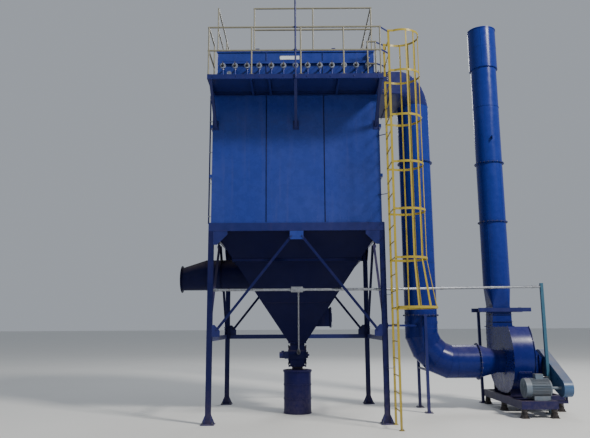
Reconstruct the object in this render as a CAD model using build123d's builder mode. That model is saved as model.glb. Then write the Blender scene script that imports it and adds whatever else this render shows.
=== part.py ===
from build123d import *
import math
import os

os.makedirs("parts", exist_ok=True)

# Millimetres. The origin is on the ground, midway between the four columns.
# +X runs towards the fan, +Y away from the service deck, +Z up.

# Tower columns and their base plates
column_x = 1655
column_y = 1535
column_section = 100
flange_thickness = 10
web_thickness = 7
beam_bottom = 3600
base_plate_size = 250
base_plate_thickness = 16
anchor_pitch = 180
anchor_hole_diameter = 22
base_gusset_height = 160
base_gusset_reach = 70
base_gusset_thickness = 10

# Ring beam of channels, web outward
beam_depth = 155
beam_flange_width = 50
beam_web = 6
beam_flange = 8
weld_gap = 2
beam_top = beam_bottom + beam_depth
column_outer_x = column_x + column_section / 2
column_outer_y = column_y + column_section / 2
column_inner_x = column_x - column_section / 2
column_inner_y = column_y - column_section / 2

# Side and rear girts
girt_depth = 95
girt_width = 45
girt_top = 1590

# Gusset plates and angle braces
plate_thickness = 8
plate_skin = 1
corner_plate_size = 270
corner_plate_nose = 70
apex_plate_width = 270
apex_plate_height = 160
foot_plate_width = 150
foot_plate_height = 220
angle_leg = 50
angle_thickness = 6
brace_foot_rise = 110
brace_head_drop = 90
brace_end_z = girt_top + brace_foot_rise
brace_top_z = beam_bottom - brace_head_drop

# Hopper, a shell that hangs inside the ring beam
hopper_wall = 6
hopper_top_x = 1640
hopper_top_y = 1520
hopper_knee_z = 3670
hopper_outlet_z = 1450
hopper_outlet_half = 177
hopper_flange_half = 190
hopper_flange_thickness = 10
hopper_rib_z = 3050
hopper_rib_height = 50
hopper_rib_reach = 45

# Access door on the right face of the hopper
door_x = 700
door_bottom = 1770
door_top = 2150
door_half_width = 210
door_lip = 25
door_thickness = 20

# Rotary valve, spout and drum
valve_centre_z = 1180
valve_radius = 185
valve_half_length = 170
valve_flange_half = 190
valve_flange_thickness = 12
valve_bottom_z = 950
valve_cover_radius = 205
valve_cover_thickness = 18
valve_gearbox_size = 150
valve_gearbox_length = 80
valve_motor_radius = 60
valve_motor_length = 110
drum_radius = 285
drum_height = 850
drum_hoop = 8
drum_lid_radius = 300
drum_lid_height = 30
spout_radius = 110
spout_wall = 4

# Filter housing and plenum shells
housing_x = 1660
housing_y = 1545
housing_wall = 5
housing_top = 6390
housing_lip = 30
housing_lip_thickness = 10
side_rib_height = 65
side_rib_reach = 45
side_rib_levels = (4700, 5720)
tube_sheet_reach = 25
tube_sheet_thickness = 12
plenum_x = 1595
plenum_y = 1500
plenum_top = 7335
roof_reach = 20
roof_thickness = 8
lug_x = 780
lug_height = 70
lug_width = 80
lug_thickness = 16
lug_hole_diameter = 35
nameplate_left = -325
nameplate_width = 410
nameplate_bottom = 7148
nameplate_height = 90
nameplate_thickness = 3

# Pulse-jet cleaning gear on the front of the plenum
header_radius = 85
header_half_length = 1500
header_z = 6640
header_y = -1680
saddle_x = (-1250, -420, 420, 1250)
saddle_width = 60
valve_count = 13
valve_pitch = 243
pulse_z = 6930
pulse_radius = 37
pulse_length = 75
pulse_pipe_radius = 18

timer_x = 1530
timer_z = 7135
timer_width = 110
timer_height = 250
timer_depth = 80

# Service deck
deck_left = -1660
deck_right = 1640
deck_front = -2445
deck_channel = 90
deck_top = 6440
deck_channel_thickness = 6
deck_plate_thickness = 5
joist_x = (-850, -500, 820)
joist_depth = 80
joist_width = 40
bracket_x = (-1600, 0, 1600)
bracket_section = 56
bracket_wall_z = 5740
mast_radius = 17
mast_top = 8750

# Handrails of welded tube
rail_radius = 17
side_rail_radius = 16
rail_post_radius = 15
rail_overrun = 20
deck_rail_top = 7390
deck_rail_mid = 6920
deck_posts = (-1640, -830, 100, 910, 1605)
deck_return_y = -1640
rail_inset = 20
short_rail_left = 1440
short_rail_y = -1790
roof_rail_top = 8290
roof_rail_mid = (plenum_top + roof_rail_top) / 2
roof_posts_front = (-846, 363, 1565)
roof_post_left = -1590
roof_rail_y = 1470
roof_rail_front = -1480

# Caged ladder
ladder_x = 1790
ladder_near = -2270
ladder_far = -1670
ladder_top = 7400
stile_depth = 42
stile_thickness = 12
rung_radius = 10
rung_pitch = 300
column_bracket_levels = (1000, 2350)
housing_bracket_levels = (4300, 5500)
bracket_plate_width = 30
arm_height = 30
hoop_radius = 360
hoop_centre_x = 2060
hoop_levels = (3015, 3910, 4800, 5710, 6590, 7400)
flare_level = 2120
flare_reach = 150
hoop_height = 42
strap_width = 28
strap_thickness = 6
strap_angles = (-81, -54, -27, 0, 27, 54, 81)

# Inlet duct stub on the left of the hopper
inlet_z = 2875
inlet_radius = 325
inlet_wall = 4
inlet_cone_x = -1950
inlet_mouth_x = -2480
inlet_mouth_radius = 240
inlet_flange_reach = 50
inlet_flange_thickness = 12
inlet_bolt_count = 12
inlet_bolt_diameter = 14

# Clean-air duct from the plenum to the fan
duct_x = 2710
duct_y = 330
duct_radius = 350
duct_wall = 4
round_slack = 1
elbow_radius = 700
duct_axis_z = 1010
elbow_mitres = 4
duct_flange_reach = 40
duct_flange_thickness = 16
riser_flange_levels = (2000, 5420)
hood_near = -480
hood_far = 1140
hood_bottom = 6800
hood_top = 7320
hood_hinge_x = 2340
hood_hinge_z = 6740
hood_seat_z = 6740
hood_corner = 20
hood_mid_radial = (45, 645)
hood_mid_span = (-240, 890)
hood_mid_corner = 190
reducer_start_x = 3900
reducer_end_x = 4300
fan_inlet_radius = 240
duct_post_spread = 470
duct_post_size = 60
duct_foot_size = 160
duct_foot_thickness = 12
duct_foot_pitch = 110
duct_foot_hole = 14
duct_cross_z = 860
duct_tie_z = 1780
duct_tie_size = 40
duct_plate_width = 100
fan_neck_gap = 12
fan_neck_reach = 45

# Fan casing, a scroll with an upward outlet
fan_left = 4450
fan_right = 4900
fan_side_plate = 8
fan_side_lip = 25
fan_top = 1745
fan_rear = 1400
fan_front = -380
fan_bottom = 380
fan_bottom_y = 400
fan_top_front = -90
fan_rear_bulge = (1070, 535)
fan_front_bulge = (-150, 545)
fan_upper_bulge = (-300, 1450)
outlet_front = 900
outlet_flange_thickness = 15
outlet_flange_reach = 35
fan_foot_y = (-30, 580, 1050)
fan_foot_thickness = 10

# Fan base frame on spring isolators
skid_left = 4330
skid_right = 5560
skid_front = -60
skid_rear = 1450
skid_motor_front = -1000
skid_motor_right = 5040
skid_bottom = 170
skid_height = 150
skid_channel = 60
skid_flange = 9
skid_web = 8
skid_member_y = (-30, 80, 580, 1050)
skid_motor_member_y = (-880, -600)
isolator_places = ((4395, -935), (4975, -935), (4395, 260), (5495, 5), (4395, 1385), (5495, 1385))
isolator_cup_top = 95
isolator_gap = 15
isolator_spring_radius = 42
isolator_cap_radius = 56
isolator_hole_pitch = 120
isolator_radius = 60
isolator_plate = 150
isolator_plate_thickness = 10
isolator_hole = 12

# Bearing pedestal, shaft and belt drive
pedestal_right = 5180
pedestal_front = 50
pedestal_rear = 610
pedestal_shoulder_z = 1100
pedestal_crown_z = 1400
pedestal_crown_x = 4960
shaft_radius = 32
bearing_width = 30
bearing_height = 150
bearing_depth = 210
guard_left = 5220
guard_right = 5400
guard_top_radius = 250
guard_foot_radius = 175
guard_leg_size = 40
guard_leg_y = (60, 430)
guard_arm_bottom = 250
guard_arm_size = 60
motor_y = -740
motor_z = 545
motor_radius = 175
motor_left = 4480
motor_right = 4990
motor_fin_radius = 195
motor_fin_width = 7
motor_fin_count = 40
motor_cowl_radius = 190
motor_shield_radius = 160
motor_shield_length = 30
motor_shaft_radius = 28
motor_foot_spread = 140
motor_foot_width = 60
motor_foot_inset = 30
motor_cowl_length = 110
motor_box_size = 150
motor_box_height = 90

# Stack
stack_x = 4675
stack_y = 1150
stack_radius = 305
stack_wall = 4
stack_corner = 6
stack_flange_reach = 40
stack_flange_thickness = 16
stack_seam_reach = 8
stack_seam_height = 20
stack_lug_reach = 60
stack_lug_height = 90
stack_lug_thickness = 12
stack_shoulder_thickness = 8
stack_neck_top = 2200
stack_cone_top = 2700
stack_waist_x = 390
stack_flange_levels = (4185, 5620)
stack_seam_z = 7030
stack_shoulder_z = 8020
stack_head_radius = 335
stack_head_height = 1035
stack_top = stack_shoulder_z + stack_head_height
stack_lug_z = 6200

# Support frame of the stack
stack_beam_bottom = 2080
stack_beam_height = 90
stack_beam_left = 4140
stack_beam_right = 5330
stack_beam_width = 60
stack_post_size = 60
stack_post_x = (4330, 5080)
stack_post_y = 1560

# Electrical conduit and its post
conduit_radius = 25
conduit_y = -1460
conduit_z = 2470
conduit_left = -1655
conduit_turn_x = 1720
conduit_end_z = 2570
conduit_post_size = 60
conduit_post_top = 2640
drop_radius = 15
drop_start = (30, -1460, 2420)
drop_end = (30, -170, 1190)
conduit_box_width = 220
conduit_box_height = 100
conduit_box_depth = 90
conduit_post_x = 5150
conduit_post_y = -300

# Small side pipe on the left wall
air_pipe_radius = 14
air_pipe_x = -1719
air_pipe_y = -1480

# Derived places
beam_mid_z = beam_bottom + beam_depth / 2
hopper_slope_x = (hopper_top_x - hopper_outlet_half) / (hopper_knee_z - hopper_outlet_z)
hopper_slope_y = (hopper_top_y - hopper_outlet_half) / (hopper_knee_z - hopper_outlet_z)
rib_half_x = hopper_outlet_half + (hopper_rib_z - hopper_outlet_z) * hopper_slope_x
rib_half_y = hopper_outlet_half + (hopper_rib_z - hopper_outlet_z) * hopper_slope_y
deck_rear = -(housing_y + tube_sheet_reach)
deck_centre_x = (deck_left + deck_right) / 2
deck_centre_y = (deck_front + deck_rear) / 2
deck_width = deck_right - deck_left
deck_depth = deck_rear - deck_front
plenum_bottom = housing_top + tube_sheet_thickness
roof_top = plenum_top + roof_thickness
skid_top = skid_bottom + skid_height
ladder_y = (ladder_near + ladder_far) / 2
arm_offset = (ladder_far - ladder_near) / 2 + stile_thickness / 2
duct_low_z = duct_axis_z + elbow_radius
duct_elbow_end_x = duct_x + elbow_radius

# The four vertical frames of the tower, seen from outside, with their inner half spans
front_frame = Plane(origin=(0, plate_skin - column_outer_y, 0), x_dir=(-1, 0, 0), z_dir=(0, 1, 0))
rear_frame = Plane(origin=(0, column_outer_y - plate_skin, 0), x_dir=(1, 0, 0), z_dir=(0, -1, 0))
left_frame = Plane(origin=(plate_skin - column_outer_x, 0, 0), x_dir=(0, 1, 0), z_dir=(1, 0, 0))
right_frame = Plane(origin=(column_outer_x - plate_skin, 0, 0), x_dir=(0, -1, 0), z_dir=(-1, 0, 0))
tower_frames = (
    (front_frame, column_inner_x),
    (rear_frame, column_inner_x),
    (left_frame, column_inner_y),
    (right_frame, column_inner_y),
)

# Base plates with their gussets, under the columns
with BuildPart() as base_plates:
    with BuildSketch(Plane.XY):
        with GridLocations(2 * column_x, 2 * column_y, 2, 2):
            Rectangle(base_plate_size, base_plate_size)
            with GridLocations(anchor_pitch, anchor_pitch, 2, 2):
                Circle(anchor_hole_diameter / 2, mode=Mode.SUBTRACT)
    extrude(amount=base_plate_thickness)
    gusset_foot = base_plate_thickness
    gusset_head = base_plate_thickness + base_gusset_height
    flange_offset = (column_section - flange_thickness) / 2
    for side_y in (-1, 1):
        for face in (-1, 1):
            with BuildSketch(Plane.XZ.offset(-(side_y * column_y + face * flange_offset))):
                for side_x in (-1, 1):
                    for reach in (-1, 1):
                        root = side_x * column_x + reach * column_section / 2
                        Polygon(
                            (root, gusset_foot),
                            (root + reach * base_gusset_reach, gusset_foot),
                            (root, gusset_head),
                            align=None,
                        )
            extrude(amount=base_gusset_thickness / 2, both=True)
base_plates.part.label = "base_plates"
export_step(base_plates.part, "parts/base_plates.step")

# Columns of H section, flanges to the front and rear
with BuildPart() as columns:
    with BuildSketch(Plane.XY.offset(base_plate_thickness)):
        with GridLocations(2 * column_x, 2 * column_y, 2, 2):
            Rectangle(column_section, column_section)
            pocket_width = (column_section - web_thickness) / 2
            pocket_x = (web_thickness + pocket_width) / 2
            with Locations((pocket_x, 0), (-pocket_x, 0)):
                Rectangle(pocket_width, column_section - 2 * flange_thickness, mode=Mode.SUBTRACT)
    extrude(amount=beam_bottom - base_plate_thickness)
columns.part.label = "columns"
export_step(columns.part, "parts/columns.step")

# Ring beam that carries the hopper and the housing
with BuildPart() as ring_beams:
    side_beam_half = column_outer_y - beam_flange_width - weld_gap
    pocket_depth = beam_flange_width - beam_web
    for side in (-1, 1):
        with BuildSketch(Plane.YZ.offset(-column_outer_x)):
            with Locations((side * (column_outer_y - beam_flange_width / 2), beam_mid_z)):
                Rectangle(beam_flange_width, beam_depth)
            with Locations((side * (column_outer_y - beam_web - pocket_depth / 2), beam_mid_z)):
                Rectangle(pocket_depth, beam_depth - 2 * beam_flange, mode=Mode.SUBTRACT)
        extrude(amount=2 * column_outer_x)
        with BuildSketch(Plane.XZ.offset(-side_beam_half)):
            with Locations((side * (column_outer_x - beam_flange_width / 2), beam_mid_z)):
                Rectangle(beam_flange_width, beam_depth)
            with Locations((side * (column_outer_x - beam_web - pocket_depth / 2), beam_mid_z)):
                Rectangle(pocket_depth, beam_depth - 2 * beam_flange, mode=Mode.SUBTRACT)
        extrude(amount=2 * side_beam_half)
ring_beams.part.label = "ring_beams"
export_step(ring_beams.part, "parts/ring_beams.step")

# Girts between the columns on the rear and both sides
with BuildPart() as girts:
    with BuildSketch(Plane.XY.offset(girt_top - girt_depth)):
        with Locations((0, column_outer_y - girt_width / 2)):
            Rectangle(2 * column_inner_x, girt_width)
        with GridLocations(2 * column_outer_x - girt_width, 0, 2, 1):
            Rectangle(girt_width, 2 * column_inner_y)
    extrude(amount=girt_depth)
girts.part.label = "girts"
export_step(girts.part, "parts/girts.step")

# Gusset plates: ring beam corners, apexes of the braces and feet of the braces
with BuildPart() as gusset_plates:
    for frame, span in tower_frames:
        with BuildSketch(frame):
            with Locations((0, beam_bottom - apex_plate_height / 2)):
                Rectangle(apex_plate_width, apex_plate_height)
            for side in (-1, 1):
                Polygon(
                    (side * span, beam_bottom),
                    (side * (span - corner_plate_size), beam_bottom),
                    (side * (span - corner_plate_size), beam_bottom - corner_plate_nose),
                    (side * (span - corner_plate_nose), beam_bottom - corner_plate_size),
                    (side * span, beam_bottom - corner_plate_size),
                    align=None,
                )
                Polygon(
                    (side * span, girt_top),
                    (side * (span - foot_plate_width), girt_top),
                    (side * (span - foot_plate_width), girt_top + foot_plate_height / 2),
                    (side * (span - foot_plate_width / 3), girt_top + foot_plate_height),
                    (side * span, girt_top + foot_plate_height),
                    align=None,
                )
        extrude(amount=plate_thickness)
gusset_plates.part.label = "gusset_plates"
export_step(gusset_plates.part, "parts/gusset_plates.step")

# Angle braces that rise from the foot plates to the apex plates
with BuildPart() as braces:
    for frame, span in tower_frames:
        brace_run = span - foot_plate_width / 2 - apex_plate_width / 3
        brace_rise = brace_top_z - brace_end_z
        brace_length = math.hypot(brace_run, brace_rise)
        brace_angle = math.degrees(math.atan2(brace_rise, brace_run))
        brace_mid_u = apex_plate_width / 3 + brace_run / 2
        brace_mid_z = (brace_top_z + brace_end_z) / 2
        for side in (-1, 1):
            place = Location((side * brace_mid_u, brace_mid_z), -side * brace_angle)
            with BuildSketch(frame.offset(plate_thickness)):
                with Locations(place):
                    Rectangle(brace_length, angle_leg)
            extrude(amount=angle_thickness)
            with BuildSketch(frame.offset(plate_thickness)):
                with Locations(place):
                    with Locations((0, (angle_leg - angle_thickness) / 2)):
                        Rectangle(brace_length, angle_thickness)
            extrude(amount=angle_leg)
braces.part.label = "braces"
export_step(braces.part, "parts/braces.step")

# Outer form of the hopper, used to trim what meets it
with BuildPart() as hopper_core:
    with BuildSketch(Plane.XZ):
        Polygon(
            (-hopper_outlet_half, hopper_outlet_z),
            (hopper_outlet_half, hopper_outlet_z),
            (hopper_top_x, hopper_knee_z),
            (-hopper_top_x, hopper_knee_z),
            align=None,
        )
    extrude(amount=hopper_top_y, both=True)
    with BuildSketch(Plane.YZ):
        Polygon(
            (-hopper_outlet_half, hopper_outlet_z),
            (hopper_outlet_half, hopper_outlet_z),
            (hopper_top_y, hopper_knee_z),
            (-hopper_top_y, hopper_knee_z),
            align=None,
        )
    extrude(amount=hopper_top_x, both=True, mode=Mode.INTERSECT)

# Hollow of the hopper, one wall inside its outer form
throat_half = hopper_outlet_half - hopper_wall
hollow_x = hopper_top_x - hopper_wall
hollow_y = hopper_top_y - hopper_wall
with BuildPart() as hopper_hollow:
    with BuildSketch(Plane.XZ):
        Polygon(
            (-throat_half, hopper_outlet_z),
            (throat_half, hopper_outlet_z),
            (hollow_x, hopper_knee_z),
            (-hollow_x, hopper_knee_z),
            align=None,
        )
    extrude(amount=hollow_y, both=True)
    with BuildSketch(Plane.YZ):
        Polygon(
            (-throat_half, hopper_outlet_z),
            (throat_half, hopper_outlet_z),
            (hollow_y, hopper_knee_z),
            (-hollow_y, hopper_knee_z),
            align=None,
        )
    extrude(amount=hollow_x, both=True, mode=Mode.INTERSECT)
    with BuildSketch(Plane.XY.offset(hopper_knee_z)):
        Rectangle(2 * hollow_x, 2 * hollow_y)
    extrude(amount=beam_top - hopper_knee_z)
    with BuildSketch(Plane.XY.offset(hopper_outlet_z - hopper_flange_thickness)):
        Rectangle(2 * throat_half, 2 * throat_half)
    extrude(amount=hopper_flange_thickness)

# Hopper shell with its outlet flange and one stiffening ring
with BuildPart() as hopper:
    add(hopper_core.part)
    with BuildSketch(Plane.XY.offset(hopper_knee_z)):
        Rectangle(2 * hopper_top_x, 2 * hopper_top_y)
    extrude(amount=beam_top - hopper_knee_z)
    with BuildSketch(Plane.XY.offset(hopper_rib_z)):
        Rectangle(2 * (rib_half_x + hopper_rib_reach), 2 * (rib_half_y + hopper_rib_reach))
    extrude(amount=hopper_rib_height)
    with BuildSketch(Plane.XY.offset(hopper_outlet_z - hopper_flange_thickness)):
        Rectangle(2 * hopper_flange_half, 2 * hopper_flange_half)
    extrude(amount=hopper_flange_thickness)
    add(hopper_hollow.part, mode=Mode.SUBTRACT)
    # Round hole for the inlet duct and square hole for the access door
    with BuildSketch(Plane.YZ.offset(-hopper_top_x)):
        with Locations((0, inlet_z)):
            Circle(inlet_radius - inlet_wall)
    extrude(amount=hopper_top_x, mode=Mode.SUBTRACT)
    door_mid_z = (door_bottom + door_top) / 2
    door_height = door_top - door_bottom
    with BuildSketch(Plane.YZ):
        with Locations((0, door_mid_z)):
            Rectangle(2 * (door_half_width - door_lip), door_height - 2 * door_lip)
    extrude(amount=door_x, mode=Mode.SUBTRACT)
hopper.part.label = "hopper"
export_step(hopper.part, "parts/hopper.step")

# Neck of the access door on the right face of the hopper
with BuildPart() as door_neck:
    with BuildSketch(Plane.YZ):
        with Locations((0, door_mid_z)):
            Rectangle(2 * door_half_width, door_height)
            Rectangle(
                2 * (door_half_width - door_lip), door_height - 2 * door_lip, mode=Mode.SUBTRACT
            )
    extrude(amount=door_x)
    add(hopper_core.part, mode=Mode.SUBTRACT)
door_neck.part.label = "door_neck"
export_step(door_neck.part, "parts/door_neck.step")

# Access door with a pull bar
with BuildPart() as access_door:
    with BuildSketch(Plane.YZ.offset(door_x)):
        with Locations((0, door_mid_z)):
            Rectangle(2 * (door_half_width + door_lip), door_height + 2 * door_lip)
    extrude(amount=door_thickness)
    with BuildSketch(Plane.YZ.offset(door_x + door_thickness)):
        with Locations((0, door_mid_z)):
            Rectangle(2 * door_lip, door_height / 2)
    extrude(amount=door_lip)
access_door.part.label = "access_door"
export_step(access_door.part, "parts/access_door.step")

# Rotary valve, rotor axis along X
with BuildPart() as rotary_valve:
    throat_side = 2 * (valve_half_length - valve_cover_thickness)
    valve_top = hopper_outlet_z - hopper_flange_thickness
    with BuildSketch(Plane.YZ.offset(-valve_half_length)):
        with Locations((0, valve_centre_z)):
            Circle(valve_radius)
    extrude(amount=2 * valve_half_length)
    with BuildSketch(Plane.XY.offset(valve_bottom_z)):
        Rectangle(throat_side, throat_side)
    extrude(amount=valve_top - valve_bottom_z)
    for level in (valve_bottom_z, valve_top - valve_flange_thickness):
        with BuildSketch(Plane.XY.offset(level)):
            Rectangle(2 * valve_flange_half, 2 * valve_flange_half)
        extrude(amount=valve_flange_thickness)
    # End covers with one bearing boss
    for side in (-1, 1):
        with BuildSketch(Plane.YZ.offset(side * valve_half_length)):
            with Locations((0, valve_centre_z)):
                Circle(valve_cover_radius)
        extrude(amount=side * valve_cover_thickness)
    with BuildSketch(Plane.YZ.offset(valve_half_length + valve_cover_thickness)):
        with Locations((0, valve_centre_z)):
            Circle(valve_cover_radius / 3)
    extrude(amount=2 * valve_cover_thickness)
rotary_valve.part.label = "rotary_valve"
export_step(rotary_valve.part, "parts/rotary_valve.step")

# Geared motor of the valve, on its left cover
with BuildPart() as valve_drive:
    drive_start = valve_half_length + valve_cover_thickness
    with BuildSketch(Plane.YZ.offset(-drive_start)):
        with Locations((0, valve_centre_z)):
            Rectangle(valve_gearbox_size, valve_gearbox_size)
    extrude(amount=-valve_gearbox_length)
    with BuildSketch(Plane.YZ.offset(-(drive_start + valve_gearbox_length))):
        with Locations((0, valve_centre_z)):
            Circle(valve_motor_radius)
    extrude(amount=-valve_motor_length)
valve_drive.part.label = "valve_drive"
export_step(valve_drive.part, "parts/valve_drive.step")

# Drum lid with the hole that the spout enters
with BuildPart() as drum_lid:
    with BuildSketch(Plane.XY.offset(drum_height)):
        Circle(drum_lid_radius)
        Circle(spout_radius - spout_wall, mode=Mode.SUBTRACT)
    extrude(amount=drum_lid_height)
drum_lid.part.label = "drum_lid"
export_step(drum_lid.part, "parts/drum_lid.step")

# Spout from the valve to the lid
with BuildPart() as spout:
    with BuildSketch(Plane.XY.offset(drum_height + drum_lid_height)):
        Circle(spout_radius)
        Circle(spout_radius - spout_wall, mode=Mode.SUBTRACT)
    extrude(amount=valve_bottom_z - drum_height - drum_lid_height)
spout.part.label = "spout"
export_step(spout.part, "parts/spout.step")

# Dust drum with two rolled hoops and a foot rim
with BuildPart() as dust_drum:
    with BuildSketch(Plane.XY):
        Circle(drum_radius)
    extrude(amount=drum_height)
    for level in (0, drum_height / 3, 2 * drum_height / 3, drum_height - 3 * drum_hoop):
        with BuildSketch(Plane.XY.offset(level)):
            Circle(drum_radius + drum_hoop)
        extrude(amount=3 * drum_hoop)
    with BuildSketch(Plane.XY.offset(spout_wall)):
        Circle(drum_radius - spout_wall)
    extrude(amount=drum_height - spout_wall, mode=Mode.SUBTRACT)
dust_drum.part.label = "dust_drum"
export_step(dust_drum.part, "parts/dust_drum.step")

# Filter housing shell with a lip at its foot
with BuildPart() as filter_housing:
    with BuildSketch(Plane.XY.offset(beam_top)):
        Rectangle(2 * (housing_x + housing_lip), 2 * (housing_y + housing_lip))
    extrude(amount=housing_lip_thickness)
    with BuildSketch(Plane.XY.offset(beam_top)):
        Rectangle(2 * housing_x, 2 * housing_y)
    extrude(amount=housing_top - beam_top)
    with BuildSketch(Plane.XY.offset(beam_top)):
        Rectangle(2 * (housing_x - housing_wall), 2 * (housing_y - housing_wall))
    extrude(amount=housing_top - beam_top, mode=Mode.SUBTRACT)
filter_housing.part.label = "filter_housing"
export_step(filter_housing.part, "parts/filter_housing.step")

# Stiffening ribs on the sides and rear of the housing
with BuildPart() as housing_ribs:
    for level in side_rib_levels:
        with BuildSketch(Plane.XY.offset(level - side_rib_height / 2)):
            with GridLocations(2 * housing_x + side_rib_reach, 0, 2, 1):
                Rectangle(side_rib_reach, 2 * housing_y)
            with Locations((0, housing_y + side_rib_reach / 2)):
                Rectangle(2 * housing_x, side_rib_reach)
        extrude(amount=side_rib_height)
housing_ribs.part.label = "housing_ribs"
export_step(housing_ribs.part, "parts/housing_ribs.step")

# Plate between the filter housing and the clean-air plenum
with BuildPart() as tube_sheet:
    with BuildSketch(Plane.XY.offset(housing_top)):
        Rectangle(2 * (housing_x + tube_sheet_reach), 2 * (housing_y + tube_sheet_reach))
    extrude(amount=tube_sheet_thickness)
tube_sheet.part.label = "tube_sheet"
export_step(tube_sheet.part, "parts/tube_sheet.step")

# Clean-air plenum with the outlet in its right wall
with BuildPart() as plenum:
    hood_wall = duct_wall
    hood_mid_y = (hood_near + hood_far) / 2
    hood_mid_z = (hood_bottom + hood_top) / 2
    hood_inner_width = hood_far - hood_near - 2 * hood_wall
    hood_inner_height = hood_top - hood_bottom - 2 * hood_wall
    with BuildSketch(Plane.XY.offset(plenum_bottom)):
        Rectangle(2 * plenum_x, 2 * plenum_y)
        Rectangle(2 * (plenum_x - housing_wall), 2 * (plenum_y - housing_wall), mode=Mode.SUBTRACT)
    extrude(amount=plenum_top - plenum_bottom)
    with BuildSketch(Plane.YZ.offset(plenum_x)):
        with Locations((hood_mid_y, hood_mid_z)):
            Rectangle(hood_inner_width, hood_inner_height)
    extrude(amount=-2 * housing_wall, mode=Mode.SUBTRACT)
plenum.part.label = "plenum"
export_step(plenum.part, "parts/plenum.step")

# Roof plate of the plenum
with BuildPart() as roof:
    with BuildSketch(Plane.XY.offset(plenum_top)):
        Rectangle(2 * (plenum_x + roof_reach), 2 * (plenum_y + roof_reach))
    extrude(amount=roof_thickness)
    # Four lifting lugs
    lug_y = plenum_y - lug_width / 2
    for side in (-1, 1):
        with BuildSketch(Plane.XZ.offset(-side * lug_y)):
            for across in (-1, 1):
                with Locations((across * lug_x, roof_top + lug_height / 2)):
                    Rectangle(lug_width, lug_height)
                    Circle(lug_hole_diameter / 2, mode=Mode.SUBTRACT)
        extrude(amount=lug_thickness / 2, both=True)
roof.part.label = "roof"
export_step(roof.part, "parts/roof.step")


# Blank nameplate on the front of the plenum
with BuildPart() as nameplate:
    with BuildSketch(Plane.XZ.offset(plenum_y)):
        with Locations(
            (nameplate_left + nameplate_width / 2, nameplate_bottom + nameplate_height / 2)
        ):
            Rectangle(nameplate_width, nameplate_height)
    extrude(amount=nameplate_thickness)
nameplate.part.label = "nameplate"
export_step(nameplate.part, "parts/nameplate.step")

# Compressed-air header along the front of the plenum
with BuildPart() as air_header:
    with BuildSketch(Plane.YZ.offset(-header_half_length)):
        with Locations((header_y, header_z)):
            Circle(header_radius)
    extrude(amount=2 * header_half_length)
    fillet(air_header.edges().filter_by(GeomType.CIRCLE), radius=header_radius / 3)
    # Saddles down to the deck
    with BuildSketch(Plane.XY.offset(deck_top)):
        with Locations([(x, header_y) for x in saddle_x]):
            Rectangle(saddle_width, header_radius * 2 - saddle_width / 2)
    extrude(amount=header_z - deck_top)
air_header.part.label = "air_header"
export_step(air_header.part, "parts/air_header.step")


# Pulse valves, each with a stub down to the header and a pipe into the plenum
with BuildPart() as pulse_valves:
    valve_front = -header_y + pulse_length / 2
    with BuildSketch(Plane.XZ.offset(valve_front - pulse_length)):
        with Locations((0, pulse_z)):
            with GridLocations(valve_pitch, 0, valve_count, 1):
                Circle(pulse_radius)
    extrude(amount=pulse_length)
    with BuildSketch(Plane.XZ.offset(plenum_y)):
        with Locations((0, pulse_z)):
            with GridLocations(valve_pitch, 0, valve_count, 1):
                Circle(pulse_pipe_radius)
    extrude(amount=valve_front - pulse_length - plenum_y)
    with BuildSketch(Plane.XY.offset(header_z)):
        with Locations((0, header_y)):
            with GridLocations(valve_pitch, 0, valve_count, 1):
                Circle(pulse_pipe_radius)
    extrude(amount=pulse_z - header_z)
    add(air_header.part, mode=Mode.SUBTRACT)
pulse_valves.part.label = "pulse_valves"
export_step(pulse_valves.part, "parts/pulse_valves.step")

# Service deck frame, an edge channel with joists
with BuildPart() as deck_frame:
    deck_bottom = deck_top - deck_channel
    frame_height = deck_channel - deck_plate_thickness
    with BuildSketch(Plane.XY.offset(deck_bottom)):
        with Locations((deck_centre_x, deck_centre_y)):
            Rectangle(deck_width, deck_depth)
            Rectangle(
                deck_width - 2 * deck_channel_thickness,
                deck_depth - 2 * deck_channel_thickness,
                mode=Mode.SUBTRACT,
            )
    extrude(amount=frame_height)
    with BuildSketch(Plane.XY.offset(deck_bottom)):
        with Locations((deck_centre_x, deck_centre_y)):
            Rectangle(deck_width, deck_depth)
            Rectangle(deck_width - 2 * joist_width, deck_depth - 2 * joist_width, mode=Mode.SUBTRACT)
    extrude(amount=deck_channel_thickness)
    with BuildSketch(Plane.XY.offset(deck_bottom + frame_height - joist_depth)):
        with Locations([(x, deck_centre_y) for x in joist_x]):
            Rectangle(joist_width, deck_depth - deck_channel_thickness)
    extrude(amount=joist_depth)
    # Brackets back to the wall of the housing
    bracket_tip = deck_front + joist_width / 2
    for x in bracket_x:
        with BuildSketch(Plane.YZ.offset(x)):
            Polygon(
                (-housing_y, bracket_wall_z - bracket_section),
                (-housing_y, bracket_wall_z + bracket_section / 2),
                (bracket_tip + 3 * bracket_section / 2, deck_bottom),
                (bracket_tip, deck_bottom),
                align=None,
            )
        extrude(amount=bracket_section / 2, both=True)
deck_frame.part.label = "deck_frame"
export_step(deck_frame.part, "parts/deck_frame.step")

# Deck plate
with BuildPart() as deck_plate:
    with BuildSketch(Plane.XY.offset(deck_top - deck_plate_thickness)):
        with Locations((deck_centre_x, deck_centre_y)):
            Rectangle(deck_width, deck_depth)
    extrude(amount=deck_plate_thickness)
deck_plate.part.label = "deck_plate"
export_step(deck_plate.part, "parts/deck_plate.step")

# Mast on the front edge of the deck
with BuildPart() as mast:
    with BuildSketch(Plane.XY.offset(deck_bottom)):
        with Locations((0, deck_front - mast_radius)):
            Circle(mast_radius)
    extrude(amount=mast_top - deck_bottom)
mast.part.label = "mast"
export_step(mast.part, "parts/mast.step")

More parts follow.
